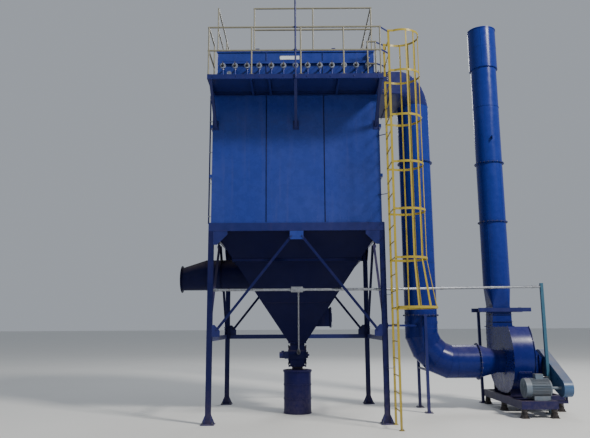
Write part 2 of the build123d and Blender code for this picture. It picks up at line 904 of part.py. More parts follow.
# Front handrail of the deck
with BuildPart() as deck_rail_front:
    deck_rail_y = deck_front + rail_inset
    with BuildSketch(Plane.YZ.offset(deck_posts[0] - rail_overrun)):
        with Locations((deck_rail_y, deck_rail_top), (deck_rail_y, deck_rail_mid)):
            Circle(rail_radius)
    extrude(amount=deck_posts[-1] - deck_posts[0] + 2 * rail_overrun)
    with BuildSketch(Plane.XY.offset(deck_top)):
        with Locations([(x, deck_rail_y) for x in deck_posts]):
            Circle(rail_post_radius)
    extrude(amount=deck_rail_top - deck_top)
deck_rail_front.part.label = "deck_rail_front"
export_step(deck_rail_front.part, "parts/deck_rail_front.step")

# Left handrail of the deck, from the front corner back to the housing
with BuildPart() as deck_rail_left:
    with BuildSketch(Plane.XZ.offset(-deck_return_y - rail_overrun)):
        with Locations((deck_posts[0], deck_rail_top), (deck_posts[0], deck_rail_mid)):
            Circle(side_rail_radius)
    extrude(amount=deck_return_y + rail_overrun - deck_rail_y)
    with BuildSketch(Plane.XY.offset(deck_top)):
        with Locations((deck_posts[0], deck_return_y)):
            Circle(rail_post_radius)
    extrude(amount=deck_rail_top - deck_top)
    add(deck_rail_front.part, mode=Mode.SUBTRACT)
deck_rail_left.part.label = "deck_rail_left"
export_step(deck_rail_left.part, "parts/deck_rail_left.step")

# Short handrail between the air header and the ladder
with BuildPart() as deck_rail_right:
    short_right = deck_right - 2 * rail_inset
    with BuildSketch(Plane.YZ.offset(short_rail_left - rail_overrun)):
        with Locations((short_rail_y, deck_rail_top), (short_rail_y, deck_rail_mid)):
            Circle(rail_radius)
    extrude(amount=short_right - short_rail_left + 2 * rail_overrun)
    with BuildSketch(Plane.XY.offset(deck_top)):
        with Locations((short_rail_left, short_rail_y), (short_right, short_rail_y)):
            Circle(rail_post_radius)
    extrude(amount=deck_rail_top - deck_top)
deck_rail_right.part.label = "deck_rail_right"
export_step(deck_rail_right.part, "parts/deck_rail_right.step")

# Handrail panels around the roof, open at the front left
with BuildPart() as roof_rail_panel_front:
    with BuildSketch(Plane.YZ.offset(roof_posts_front[0] - rail_overrun)):
        with Locations((roof_rail_front, roof_rail_top), (roof_rail_front, roof_rail_mid)):
            Circle(rail_radius)
    extrude(amount=roof_posts_front[-1] - roof_posts_front[0] + 2 * rail_overrun)
    with BuildSketch(Plane.XY.offset(roof_top)):
        with Locations([(x, roof_rail_front) for x in roof_posts_front]):
            Circle(rail_post_radius)
    extrude(amount=roof_rail_top - roof_top)
roof_rail_panel_front.part.label = "roof_rail_front"
export_step(roof_rail_panel_front.part, "parts/roof_rail_front.step")

with BuildPart() as roof_rail_rear:
    roof_rail_right_x = roof_posts_front[-1]
    with BuildSketch(Plane.YZ.offset(roof_post_left - rail_overrun)):
        with Locations((roof_rail_y, roof_rail_top), (roof_rail_y, roof_rail_mid)):
            Circle(rail_radius)
    extrude(amount=roof_rail_right_x - roof_post_left + 2 * rail_overrun)
    with BuildSketch(Plane.XY.offset(roof_top)):
        with Locations([(x, roof_rail_y) for x in (roof_post_left, *roof_posts_front)]):
            Circle(rail_post_radius)
    extrude(amount=roof_rail_top - roof_top)
roof_rail_rear.part.label = "roof_rail_rear"
export_step(roof_rail_rear.part, "parts/roof_rail_rear.step")

with BuildPart() as roof_rail_left:
    with BuildSketch(Plane.XZ.offset(-roof_rail_y)):
        with Locations((roof_post_left, roof_rail_top), (roof_post_left, roof_rail_mid)):
            Circle(side_rail_radius)
    extrude(amount=roof_rail_y - roof_rail_front + rail_overrun)
    with BuildSketch(Plane.XY.offset(roof_top)):
        with Locations((roof_post_left, roof_rail_front), (roof_post_left, 0)):
            Circle(rail_post_radius)
    extrude(amount=roof_rail_top - roof_top)
    add(roof_rail_rear.part, mode=Mode.SUBTRACT)
roof_rail_left.part.label = "roof_rail_left"
export_step(roof_rail_left.part, "parts/roof_rail_left.step")

with BuildPart() as roof_rail_right:
    with BuildSketch(Plane.XZ.offset(-roof_rail_y)):
        with Locations((roof_rail_right_x, roof_rail_top), (roof_rail_right_x, roof_rail_mid)):
            Circle(side_rail_radius)
    extrude(amount=roof_rail_y - roof_rail_front)
    with BuildSketch(Plane.XY.offset(roof_top)):
        with Locations((roof_rail_right_x, 0)):
            Circle(rail_post_radius)
    extrude(amount=roof_rail_top - roof_top)
    add(roof_rail_rear.part, mode=Mode.SUBTRACT)
    add(roof_rail_panel_front.part, mode=Mode.SUBTRACT)
roof_rail_right.part.label = "roof_rail_right"
export_step(roof_rail_right.part, "parts/roof_rail_right.step")

# Ladder of flat stiles and round rungs
with BuildPart() as ladder:
    with BuildSketch(Plane.XY):
        with Locations((ladder_x, ladder_near), (ladder_x, ladder_far)):
            Rectangle(stile_depth, stile_thickness)
    extrude(amount=ladder_top)
    rung_count = int((ladder_top - rung_pitch / 2) / rung_pitch)
    with BuildSketch(Plane.XZ.offset(-ladder_far)):
        with Locations([(ladder_x, rung_pitch * (i + 1)) for i in range(rung_count)]):
            Circle(rung_radius)
    extrude(amount=ladder_far - ladder_near)
ladder.part.label = "ladder"
export_step(ladder.part, "parts/ladder.step")

# Stand-off plates that tie the ladder to the column, the housing and the deck
with BuildPart() as ladder_brackets:
    stile_left = ladder_x - stile_depth / 2
    stile_right = ladder_x + stile_depth / 2
    stile_face = ladder_far + stile_thickness / 2
    for level in column_bracket_levels:
        with BuildSketch(Plane.XY.offset(level)):
            Polygon(
                (column_outer_x - 2 * bracket_plate_width, -column_outer_y),
                (column_outer_x, -column_outer_y),
                (stile_right, stile_face),
                (stile_left, stile_face),
                align=None,
            )
        extrude(amount=plate_thickness)
    for level in housing_bracket_levels:
        with BuildSketch(Plane.XY.offset(level)):
            Polygon(
                (housing_x - 2 * bracket_plate_width, -housing_y),
                (housing_x, -housing_y),
                (stile_right, stile_face),
                (stile_left, stile_face),
                align=None,
            )
        extrude(amount=plate_thickness)
    with BuildSketch(Plane.XY.offset(deck_top - deck_channel)):
        with Locations(
            ((deck_right + stile_left) / 2, ladder_near), ((deck_right + stile_left) / 2, ladder_far)
        ):
            Rectangle(stile_left - deck_right, stile_thickness)
    extrude(amount=deck_channel)
    # Arms at two heights from the handrails to the stiles
    near_post = deck_posts[-1] + rail_overrun
    far_post = short_right + rail_overrun
    half_bar = stile_thickness / 2
    for level in (deck_rail_top - rail_radius, deck_rail_mid):
        with BuildSketch(Plane.XY.offset(level - arm_height / 2)):
            Polygon(
                (near_post, deck_rail_y - half_bar),
                (stile_left, ladder_near - half_bar),
                (stile_left, ladder_near + half_bar),
                (near_post, deck_rail_y + half_bar),
                align=None,
            )
            Polygon(
                (far_post, short_rail_y - half_bar),
                (stile_left, ladder_far - half_bar),
                (stile_left, ladder_far + half_bar),
                (far_post, short_rail_y + half_bar),
                align=None,
            )
        extrude(amount=arm_height)
ladder_brackets.part.label = "ladder_brackets"
export_step(ladder_brackets.part, "parts/ladder_brackets.step")

# Hoops of the cage, with a wider one at the foot
with BuildPart() as cage_hoops:
    band_offset = arm_offset + strap_thickness
    hoop_join_x = hoop_centre_x - math.sqrt(hoop_radius**2 - band_offset**2)
    band_length = hoop_join_x + strap_thickness / 2 - stile_left
    for level in hoop_levels:
        with BuildSketch(Plane.XY.offset(level - hoop_height)):
            with Locations((hoop_centre_x, ladder_y)):
                Circle(hoop_radius)
                Circle(hoop_radius - strap_thickness, mode=Mode.SUBTRACT)
            with Locations((hoop_join_x - hoop_radius / 2, ladder_y)):
                Rectangle(hoop_radius, 2 * hoop_radius + strap_thickness, mode=Mode.SUBTRACT)
            with Locations((stile_left + band_length / 2, ladder_y)):
                with GridLocations(0, 2 * arm_offset + strap_thickness, 1, 2):
                    Rectangle(band_length, strap_thickness)
        extrude(amount=hoop_height)
    flare_radius = hoop_radius + flare_reach
    flare_join_x = stile_right - strap_thickness
    flare_offset = math.sqrt(flare_radius**2 - (hoop_centre_x - flare_join_x) ** 2)
    with BuildSketch(Plane.XY.offset(flare_level - hoop_height)):
        with Locations((hoop_centre_x, ladder_y)):
            Circle(flare_radius)
            Circle(flare_radius - strap_thickness, mode=Mode.SUBTRACT)
        with Locations((flare_join_x - flare_radius / 2, ladder_y)):
            Rectangle(flare_radius, 2 * flare_radius + strap_thickness, mode=Mode.SUBTRACT)
        with Locations((flare_join_x + strap_thickness / 2, ladder_y)):
            with GridLocations(0, arm_offset + flare_offset, 1, 2):
                Rectangle(strap_thickness, flare_offset - arm_offset)
    extrude(amount=hoop_height)
cage_hoops.part.label = "cage_hoops"
export_step(cage_hoops.part, "parts/cage_hoops.step")

# Upright straps inside the hoops, spread at the foot
with BuildPart() as cage_straps:
    strap_outer = hoop_radius - strap_thickness
    strap_inner = strap_outer - strap_thickness
    for angle in strap_angles:
        turn = math.radians(angle)
        strap_plane = Plane(
            origin=(hoop_centre_x, ladder_y, 0),
            x_dir=(math.cos(turn), math.sin(turn), 0),
            z_dir=(math.sin(turn), -math.cos(turn), 0),
        )
        with BuildSketch(strap_plane):
            Polygon(
                (strap_inner, ladder_top),
                (strap_outer, ladder_top),
                (strap_outer, hoop_levels[0] - hoop_height),
                (strap_outer + flare_reach, flare_level),
                (strap_outer + flare_reach, flare_level - hoop_height),
                (strap_inner + flare_reach, flare_level - hoop_height),
                (strap_inner, hoop_levels[0] - hoop_height),
                align=None,
            )
        extrude(amount=strap_width / 2, both=True)
    add(cage_hoops.part, mode=Mode.SUBTRACT)
cage_straps.part.label = "cage_straps"
export_step(cage_straps.part, "parts/cage_straps.step")

# Timer box of the cleaning gear, at the right corner of the plenum
with BuildPart() as timer_box:
    with BuildSketch(Plane.XZ.offset(plenum_y)):
        with Locations((timer_x, timer_z)):
            Rectangle(timer_width, timer_height)
    extrude(amount=timer_depth)
timer_box.part.label = "timer_box"
export_step(timer_box.part, "parts/timer_box.step")

# Inlet duct stub with a flat-bottomed reducer and an open flange
with BuildPart() as inlet_duct:
    inlet_mouth_z = inlet_z - inlet_radius + inlet_mouth_radius
    inlet_bore = inlet_mouth_radius - inlet_wall
    with BuildSketch(Plane.YZ.offset(inlet_cone_x)):
        with Locations((0, inlet_z)):
            Circle(inlet_radius)
    extrude(amount=hopper_outlet_half - inlet_cone_x)
    with BuildSketch(Plane.YZ.offset(inlet_mouth_x)):
        with Locations((0, inlet_mouth_z)):
            Circle(inlet_mouth_radius)
    with BuildSketch(Plane.YZ.offset(inlet_cone_x)):
        with Locations((0, inlet_z)):
            Circle(inlet_radius)
    loft()
    with BuildSketch(Plane.YZ.offset(inlet_mouth_x)):
        with Locations((0, inlet_mouth_z)):
            Circle(inlet_mouth_radius + inlet_flange_reach)
    extrude(amount=inlet_flange_thickness)
    with BuildSketch(Plane.YZ.offset(inlet_cone_x)):
        with Locations((0, inlet_z)):
            Circle(inlet_radius - inlet_wall)
    extrude(amount=hopper_outlet_half - inlet_cone_x, mode=Mode.SUBTRACT)
    with BuildSketch(Plane.YZ.offset(inlet_mouth_x)):
        with Locations((0, inlet_mouth_z)):
            Circle(inlet_bore)
    with BuildSketch(Plane.YZ.offset(inlet_cone_x)):
        with Locations((0, inlet_z)):
            Circle(inlet_radius - inlet_wall)
    loft(mode=Mode.SUBTRACT)
    with BuildSketch(Plane.YZ.offset(inlet_mouth_x)):
        with Locations((0, inlet_mouth_z)):
            with PolarLocations(inlet_mouth_radius + inlet_flange_reach / 2, inlet_bolt_count):
                Circle(inlet_bolt_diameter / 2)
    extrude(amount=inlet_flange_thickness, mode=Mode.SUBTRACT)
    add(hopper_core.part, mode=Mode.SUBTRACT)
    add(hopper.part, mode=Mode.SUBTRACT)
inlet_duct.part.label = "inlet_duct"
export_step(inlet_duct.part, "parts/inlet_duct.step")

# Hood that turns the clean air from the plenum down into the riser
with BuildPart() as outlet_hood:
    hinge_turn = math.sqrt(0.5)
    mid_plane = Plane(
        origin=(hood_hinge_x, 0, hood_hinge_z),
        x_dir=(0, 1, 0),
        z_dir=(hinge_turn, 0, -hinge_turn),
    )
    mid_radius = sum(hood_mid_radial) / 2
    mid_reach = hood_mid_radial[1] - hood_mid_radial[0]
    mid_centre_y = sum(hood_mid_span) / 2
    mid_width = hood_mid_span[1] - hood_mid_span[0]
    mid_side = 1 if mid_plane.y_dir.Z > 0 else -1
    hood_depth = hood_far - hood_near
    hood_height = hood_top - hood_bottom
    for inset, keep in ((0, Mode.ADD), (duct_wall, Mode.SUBTRACT)):
        with BuildSketch(Plane.YZ.offset(plenum_x)):
            with Locations((hood_mid_y, hood_mid_z)):
                RectangleRounded(hood_depth - 2 * inset, hood_height - 2 * inset, hood_corner - inset)
        extrude(amount=hood_hinge_x - plenum_x, mode=keep)
        with BuildSketch(Plane.YZ.offset(hood_hinge_x)):
            with Locations((hood_mid_y, hood_mid_z)):
                RectangleRounded(hood_depth - 2 * inset, hood_height - 2 * inset, hood_corner - inset)
        with BuildSketch(mid_plane):
            with Locations((mid_centre_y, mid_side * mid_radius)):
                RectangleRounded(mid_width - 2 * inset, mid_reach - 2 * inset, hood_mid_corner - inset)
        with BuildSketch(Plane.XY.offset(hood_seat_z)):
            with Locations(Location((duct_x, duct_y, 0), (0, 0, 90))):
                RectangleRounded(
                    2 * (duct_radius - inset), 2 * (duct_radius - inset), duct_radius - inset - round_slack
                )
        loft(mode=keep)
outlet_hood.part.label = "outlet_hood"
export_step(outlet_hood.part, "parts/outlet_hood.step")

# Riser from the hood down to the lower elbow, with two flanged joints
with BuildPart() as riser:
    with BuildSketch(Plane.XY.offset(duct_low_z)):
        with Locations((duct_x, duct_y)):
            Circle(duct_radius)
            Circle(duct_radius - duct_wall, mode=Mode.SUBTRACT)
    extrude(amount=hood_seat_z - duct_low_z)
    for level in riser_flange_levels:
        with BuildSketch(Plane.XY.offset(level - duct_flange_thickness / 2)):
            with Locations((duct_x, duct_y)):
                Circle(duct_radius + duct_flange_reach)
                Circle(duct_radius - duct_wall, mode=Mode.SUBTRACT)
        extrude(amount=duct_flange_thickness)
riser.part.label = "riser"
export_step(riser.part, "parts/riser.step")

# Lower elbow of mitred segments
with BuildPart() as lower_elbow:
    mitre_step = math.pi / 2 / elbow_mitres
    mitre_radius = elbow_radius / math.cos(mitre_step / 2)
    mitre_points = [
        (
            duct_elbow_end_x - mitre_radius * math.cos(mitre_step * (i + 0.5)),
            duct_low_z - mitre_radius * math.sin(mitre_step * (i + 0.5)),
        )
        for i in range(elbow_mitres)
    ]
    with BuildLine(Plane.XZ.offset(-duct_y)) as elbow_path:
        Polyline((duct_x, duct_low_z), *mitre_points, (duct_elbow_end_x, duct_axis_z))
    with BuildSketch(Plane.XY.offset(duct_low_z)):
        with Locations((duct_x, duct_y)):
            Circle(duct_radius)
            Circle(duct_radius - duct_wall, mode=Mode.SUBTRACT)
    sweep(path=elbow_path.line, transition=Transition.RIGHT)
lower_elbow.part.label = "lower_elbow"
export_step(lower_elbow.part, "parts/lower_elbow.step")

# Level duct and reducer into the eye of the fan
with BuildPart() as fan_inlet_duct:
    neck_face = fan_left - fan_neck_gap
    with BuildSketch(Plane.XZ.offset(-duct_y)):
        Polygon(
            (duct_elbow_end_x, duct_axis_z + duct_radius - duct_wall),
            (duct_elbow_end_x, duct_axis_z + duct_radius),
            (reducer_start_x, duct_axis_z + duct_radius),
            (reducer_end_x, duct_axis_z + fan_inlet_radius),
            (neck_face, duct_axis_z + fan_inlet_radius),
            (neck_face, duct_axis_z + fan_inlet_radius + fan_neck_reach),
            (fan_left, duct_axis_z + fan_inlet_radius + fan_neck_reach),
            (fan_left, duct_axis_z + fan_inlet_radius - duct_wall),
            (reducer_end_x, duct_axis_z + fan_inlet_radius - duct_wall),
            (reducer_start_x, duct_axis_z + duct_radius - duct_wall),
            align=None,
        )
    revolve(axis=Axis((0, duct_y, duct_axis_z), (1, 0, 0)))
    with BuildSketch(Plane.YZ.offset(reducer_start_x - duct_flange_thickness)):
        with Locations((duct_y, duct_axis_z)):
            Circle(duct_radius + duct_flange_reach)
            Circle(duct_radius - duct_wall, mode=Mode.SUBTRACT)
    extrude(amount=duct_flange_thickness)
fan_inlet_duct.part.label = "fan_inlet_duct"
export_step(fan_inlet_duct.part, "parts/fan_inlet_duct.step")

# Posts that carry the riser, joined by a cross tie
with BuildPart() as duct_posts:
    post_top = riser_flange_levels[0] - duct_flange_thickness / 2
    with BuildSketch(Plane.XY):
        with Locations((duct_x, duct_y)):
            with GridLocations(0, 2 * duct_post_spread, 1, 2):
                Rectangle(duct_foot_size, duct_foot_size)
                with GridLocations(duct_foot_pitch, duct_foot_pitch, 2, 2):
                    Circle(duct_foot_hole / 2, mode=Mode.SUBTRACT)
    extrude(amount=duct_foot_thickness)
    with BuildSketch(Plane.XY.offset(duct_foot_thickness)):
        with Locations((duct_x, duct_y)):
            with GridLocations(0, 2 * duct_post_spread, 1, 2):
                Rectangle(duct_post_size, duct_post_size)
    extrude(amount=post_top - duct_foot_thickness)
    with BuildSketch(Plane.XY.offset(post_top - duct_foot_thickness)):
        with Locations((duct_x, duct_y)):
            Rectangle(duct_plate_width, 2 * duct_post_spread + duct_post_size)
            Circle(duct_radius, mode=Mode.SUBTRACT)
    extrude(amount=duct_foot_thickness)
    with BuildSketch(Plane.XZ.offset(-(duct_y + duct_post_spread))):
        with Locations((duct_x, duct_cross_z)):
            Rectangle(duct_tie_size, duct_tie_size)
    extrude(amount=2 * duct_post_spread)
    # Tie bar from the front right column to the riser
    tie_start_x = column_outer_x + plate_thickness
    tie_run_x = duct_x - tie_start_x
    tie_run_y = duct_y + column_y
    tie_cut = duct_tie_size / 2 * math.hypot(tie_run_x, tie_run_y) / tie_run_x
    with BuildSketch(Plane.XY.offset(duct_tie_z - duct_tie_size / 2)):
        Polygon(
            (tie_start_x, -column_y - tie_cut),
            (duct_x, duct_y - tie_cut),
            (duct_x, duct_y + tie_cut),
            (tie_start_x, -column_y + tie_cut),
            align=None,
        )
        with Locations((duct_x, duct_y)):
            Circle(duct_radius, mode=Mode.SUBTRACT)
    extrude(amount=duct_tie_size)
    with BuildSketch(Plane.YZ.offset(column_outer_x)):
        with Locations((-column_y, duct_tie_z)):
            Rectangle(column_section, duct_plate_width)
    extrude(amount=plate_thickness)
duct_posts.part.label = "duct_posts"
export_step(duct_posts.part, "parts/duct_posts.step")

# Fan casing, a scroll between two lipped side plates
with BuildPart() as fan_casing:
    for start, width, reach in (
        (fan_left, fan_side_plate, fan_side_lip),
        (fan_left + fan_side_plate, fan_right - fan_left - 2 * fan_side_plate, 0),
        (fan_right - fan_side_plate, fan_side_plate, fan_side_lip),
    ):
        with BuildSketch(Plane.YZ.offset(start)):
            with BuildLine():
                Polyline((fan_top_front, fan_top), (fan_rear, fan_top), (fan_rear, duct_axis_z))
                ThreePointArc((fan_rear, duct_axis_z), fan_rear_bulge, (fan_bottom_y, fan_bottom))
                ThreePointArc((fan_bottom_y, fan_bottom), fan_front_bulge, (fan_front, duct_axis_z))
                ThreePointArc((fan_front, duct_axis_z), fan_upper_bulge, (fan_top_front, fan_top))
            make_face()
            if reach:
                offset(amount=reach)
                with Locations((duct_y, fan_top + fan_side_lip)):
                    Rectangle(4 * duct_axis_z, 2 * fan_side_lip, mode=Mode.SUBTRACT)
        extrude(amount=width)
fan_casing.part.label = "fan_casing"
export_step(fan_casing.part, "parts/fan_casing.step")

# Closed guard over the belt and both pulleys
with BuildPart() as belt_guard:
    with BuildSketch(Plane.YZ.offset(guard_left)):
        with Locations((duct_y, duct_axis_z)):
            Circle(guard_top_radius)
        with Locations((motor_y, motor_z)):
            Circle(guard_foot_radius)
        make_hull()
    extrude(amount=guard_right - guard_left)
belt_guard.part.label = "belt_guard"
export_step(belt_guard.part, "parts/belt_guard.step")

# Base frame of channels, wide under the drive and narrow under the motor
with BuildPart() as fan_skid:
    skid_outline = (
        (skid_left, skid_motor_front),
        (skid_motor_right, skid_motor_front),
        (skid_motor_right, skid_front),
        (skid_right, skid_front),
        (skid_right, skid_rear),
        (skid_left, skid_rear),
    )
    skid_layers = (
        (skid_bottom, skid_flange, skid_channel),
        (skid_bottom + skid_flange, skid_height - 2 * skid_flange, skid_web),
        (skid_bottom + skid_height - skid_flange, skid_flange, skid_channel),
    )
    for bottom, height, width in skid_layers:
        with BuildSketch(Plane.XY.offset(bottom)):
            Polygon(*skid_outline, align=None)
            with BuildSketch(mode=Mode.PRIVATE) as skid_inside:
                Polygon(*skid_outline, align=None)
                offset(amount=-width, kind=Kind.INTERSECTION)
            add(skid_inside.sketch, mode=Mode.SUBTRACT)
            with Locations([((skid_left + skid_right) / 2, y) for y in skid_member_y]):
                Rectangle(skid_right - skid_left, width)
            with Locations([((skid_left + skid_motor_right) / 2, y) for y in skid_motor_member_y]):
                Rectangle(skid_motor_right - skid_left, width)
        extrude(amount=height)
    # Plates that stand the casing on the frame
    for level in fan_foot_y:
        with BuildSketch(Plane.XZ.offset(-level)):
            with Locations(((fan_left + fan_right) / 2, (skid_top + duct_axis_z) / 2)):
                Rectangle(fan_right - fan_left, duct_axis_z - skid_top)
        extrude(amount=fan_foot_thickness / 2, both=True)
    add(fan_casing.part, mode=Mode.SUBTRACT)
    # Legs and arm that carry the belt guard
    guard_mid_x = (guard_left + guard_right) / 2
    with BuildSketch(Plane.XY.offset(skid_top)):
        with Locations([(guard_mid_x, y) for y in guard_leg_y]):
            Rectangle(guard_leg_size, guard_leg_size)
    extrude(amount=duct_axis_z - skid_top)
    with BuildSketch(Plane.YZ.offset(skid_motor_right)):
        with Locations((motor_y, guard_arm_bottom + guard_arm_size / 2)):
            Rectangle(guard_arm_size, guard_arm_size)
    extrude(amount=guard_mid_x + guard_leg_size / 2 - skid_motor_right)
    with BuildSketch(Plane.XY.offset(guard_arm_bottom + guard_arm_size)):
        with Locations((guard_mid_x, motor_y)):
            Rectangle(guard_leg_size, guard_leg_size)
    extrude(amount=motor_z - guard_arm_bottom - guard_arm_size)
    add(belt_guard.part, mode=Mode.SUBTRACT)
fan_skid.part.label = "fan_skid"
export_step(fan_skid.part, "parts/fan_skid.step")

# Spring isolators under the base frame
with BuildPart() as isolators:
    with BuildSketch(Plane.XY):
        with Locations(*isolator_places):
            Rectangle(isolator_plate, isolator_plate)
            with GridLocations(isolator_hole_pitch, isolator_hole_pitch, 2, 2):
                Circle(isolator_hole / 2, mode=Mode.SUBTRACT)
    extrude(amount=isolator_plate_thickness)
    isolator_cap_bottom = isolator_cup_top + isolator_gap
    isolator_layers = (
        (isolator_plate_thickness, isolator_cup_top, isolator_radius),
        (isolator_cup_top, isolator_cap_bottom, isolator_spring_radius),
        (isolator_cap_bottom, skid_bottom, isolator_cap_radius),
    )
    for bottom, top, radius in isolator_layers:
        with BuildSketch(Plane.XY.offset(bottom)):
            with Locations(*isolator_places):
                Circle(radius)
        extrude(amount=top - bottom)
isolators.part.label = "isolators"
export_step(isolators.part, "parts/isolators.step")

# Bearing pedestal beside the casing
with BuildPart() as bearing_pedestal:
    with BuildSketch(Plane.XZ.offset(-pedestal_rear)):
        Polygon(
            (fan_right, skid_top),
            (pedestal_right, skid_top),
            (pedestal_right, pedestal_shoulder_z),
            (pedestal_crown_x, pedestal_crown_z),
            (fan_right, pedestal_crown_z),
            align=None,
        )
    extrude(amount=pedestal_rear - pedestal_front)
    # Bearing block and the visible length of the shaft
    with BuildSketch(Plane.YZ.offset(pedestal_right)):
        with Locations((duct_y, duct_axis_z)):
            RectangleRounded(bearing_depth, bearing_height, bearing_height / 4)
    extrude(amount=bearing_width)
    with BuildSketch(Plane.YZ.offset(pedestal_right + bearing_width)):
        with Locations((duct_y, duct_axis_z)):
            Circle(shaft_radius)
    extrude(amount=guard_left - pedestal_right - bearing_width)
bearing_pedestal.part.label = "bearing_pedestal"
export_step(bearing_pedestal.part, "parts/bearing_pedestal.step")

# Finned motor on its feet
with BuildPart() as fan_motor:
    motor_rib_left = motor_left + motor_cowl_length
    motor_rib_right = motor_right - motor_shield_length
    motor_rib_length = motor_rib_right - motor_rib_left
    motor_mid_x = (motor_rib_left + motor_rib_right) / 2
    with BuildSketch(Plane.YZ.offset(motor_left)):
        with Locations((motor_y, motor_z)):
            Circle(motor_cowl_radius)
    extrude(amount=motor_cowl_length)
    with BuildSketch(Plane.YZ.offset(motor_rib_left)):
        with Locations((motor_y, motor_z)):
            Circle(motor_radius)
            with PolarLocations(motor_radius, motor_fin_count):
                Rectangle(2 * (motor_fin_radius - motor_radius), motor_fin_width)
    extrude(amount=motor_rib_length)
    with BuildSketch(Plane.YZ.offset(motor_rib_right)):
        with Locations((motor_y, motor_z)):
            Circle(motor_shield_radius)
    extrude(amount=motor_shield_length)
    with BuildSketch(Plane.YZ.offset(motor_right)):
        with Locations((motor_y, motor_z)):
            Circle(motor_shaft_radius)
    extrude(amount=guard_left - motor_right)
    with BuildSketch(Plane.XY.offset(skid_top)):
        with Locations((motor_mid_x, motor_y)):
            with GridLocations(0, 2 * motor_foot_spread, 1, 2):
                Rectangle(motor_rib_length - 2 * motor_foot_inset, motor_foot_width)
    extrude(amount=motor_z - motor_foot_spread - skid_top)
    with BuildSketch(Plane.XY.offset(motor_z)):
        with Locations((motor_mid_x, motor_y)):
            Rectangle(motor_box_size, motor_box_size)
    extrude(amount=motor_radius + motor_box_height)
fan_motor.part.label = "fan_motor"
export_step(fan_motor.part, "parts/fan_motor.step")

# Neck of the stack, a rectangular duct that spreads into the round one
with BuildPart() as stack_neck:
    neck_x = fan_right - fan_left
    neck_y = fan_rear - outlet_front
    for inset, keep in ((0, Mode.ADD), (stack_wall, Mode.SUBTRACT)):
        with BuildSketch(Plane.XY.offset(fan_top)):
            with Locations((stack_x, stack_y)):
                RectangleRounded(neck_x - 2 * inset, neck_y - 2 * inset, stack_corner - inset)
        with BuildSketch(Plane.XY.offset(stack_neck_top)):
            with Locations((stack_x, stack_y)):
                RectangleRounded(stack_waist_x - 2 * inset, neck_y - 2 * inset, stack_corner - inset)
        loft(mode=keep)
        with BuildSketch(Plane.XY.offset(stack_neck_top)):
            with Locations((stack_x, stack_y)):
                RectangleRounded(stack_waist_x - 2 * inset, neck_y - 2 * inset, stack_corner - inset)
        with BuildSketch(Plane.XY.offset(stack_cone_top)):
            with Locations((stack_x, stack_y)):
                RectangleRounded(
                    2 * (stack_radius - inset), 2 * (stack_radius - inset), stack_radius - inset - round_slack
                )
        loft(mode=keep)
    with BuildSketch(Plane.XY.offset(fan_top)):
        with Locations((stack_x, stack_y)):
            Rectangle(neck_x + 2 * outlet_flange_reach, neck_y + 2 * outlet_flange_reach)
            Rectangle(neck_x - 2 * stack_wall, neck_y - 2 * stack_wall, mode=Mode.SUBTRACT)
    extrude(amount=outlet_flange_thickness)
stack_neck.part.label = "stack_neck"
export_step(stack_neck.part, "parts/stack_neck.step")

# Round stack with two flanged joints, a seam and a lug
with BuildPart() as stack_tube:
    with BuildSketch(Plane.XY.offset(stack_cone_top)):
        with Locations((stack_x, stack_y)):
            Circle(stack_radius)
    extrude(amount=stack_shoulder_z - stack_cone_top)
    for level in stack_flange_levels:
        with BuildSketch(Plane.XY.offset(level - stack_flange_thickness / 2)):
            with Locations((stack_x, stack_y)):
                Circle(stack_radius + stack_flange_reach)
        extrude(amount=stack_flange_thickness)
    with BuildSketch(Plane.XY.offset(stack_seam_z - stack_seam_height / 2)):
        with Locations((stack_x, stack_y)):
            Circle(stack_radius + stack_seam_reach)
    extrude(amount=stack_seam_height)
    with BuildSketch(Plane.YZ.offset(stack_x)):
        with Locations((stack_y - stack_radius - stack_lug_reach / 2, stack_lug_z)):
            Rectangle(2 * stack_lug_reach, stack_lug_height)
    extrude(amount=stack_lug_thickness / 2, both=True)
    with BuildSketch(Plane.XY.offset(stack_cone_top)):
        with Locations((stack_x, stack_y)):
            Circle(stack_radius - stack_wall)
    extrude(amount=stack_shoulder_z - stack_cone_top, mode=Mode.SUBTRACT)
stack_tube.part.label = "stack_tube"
export_step(stack_tube.part, "parts/stack_tube.step")

# Wider open head of the stack
with BuildPart() as stack_head:
    with BuildSketch(Plane.XY.offset(stack_shoulder_z)):
        with Locations((stack_x, stack_y)):
            Circle(stack_head_radius)
            Circle(stack_radius - stack_wall, mode=Mode.SUBTRACT)
    extrude(amount=stack_shoulder_thickness)
    with BuildSketch(Plane.XY.offset(stack_shoulder_z)):
        with Locations((stack_x, stack_y)):
            Circle(stack_head_radius)
            Circle(stack_head_radius - stack_wall, mode=Mode.SUBTRACT)
    extrude(amount=stack_top - stack_shoulder_z)
stack_head.part.label = "stack_head"
export_step(stack_head.part, "parts/stack_head.step")

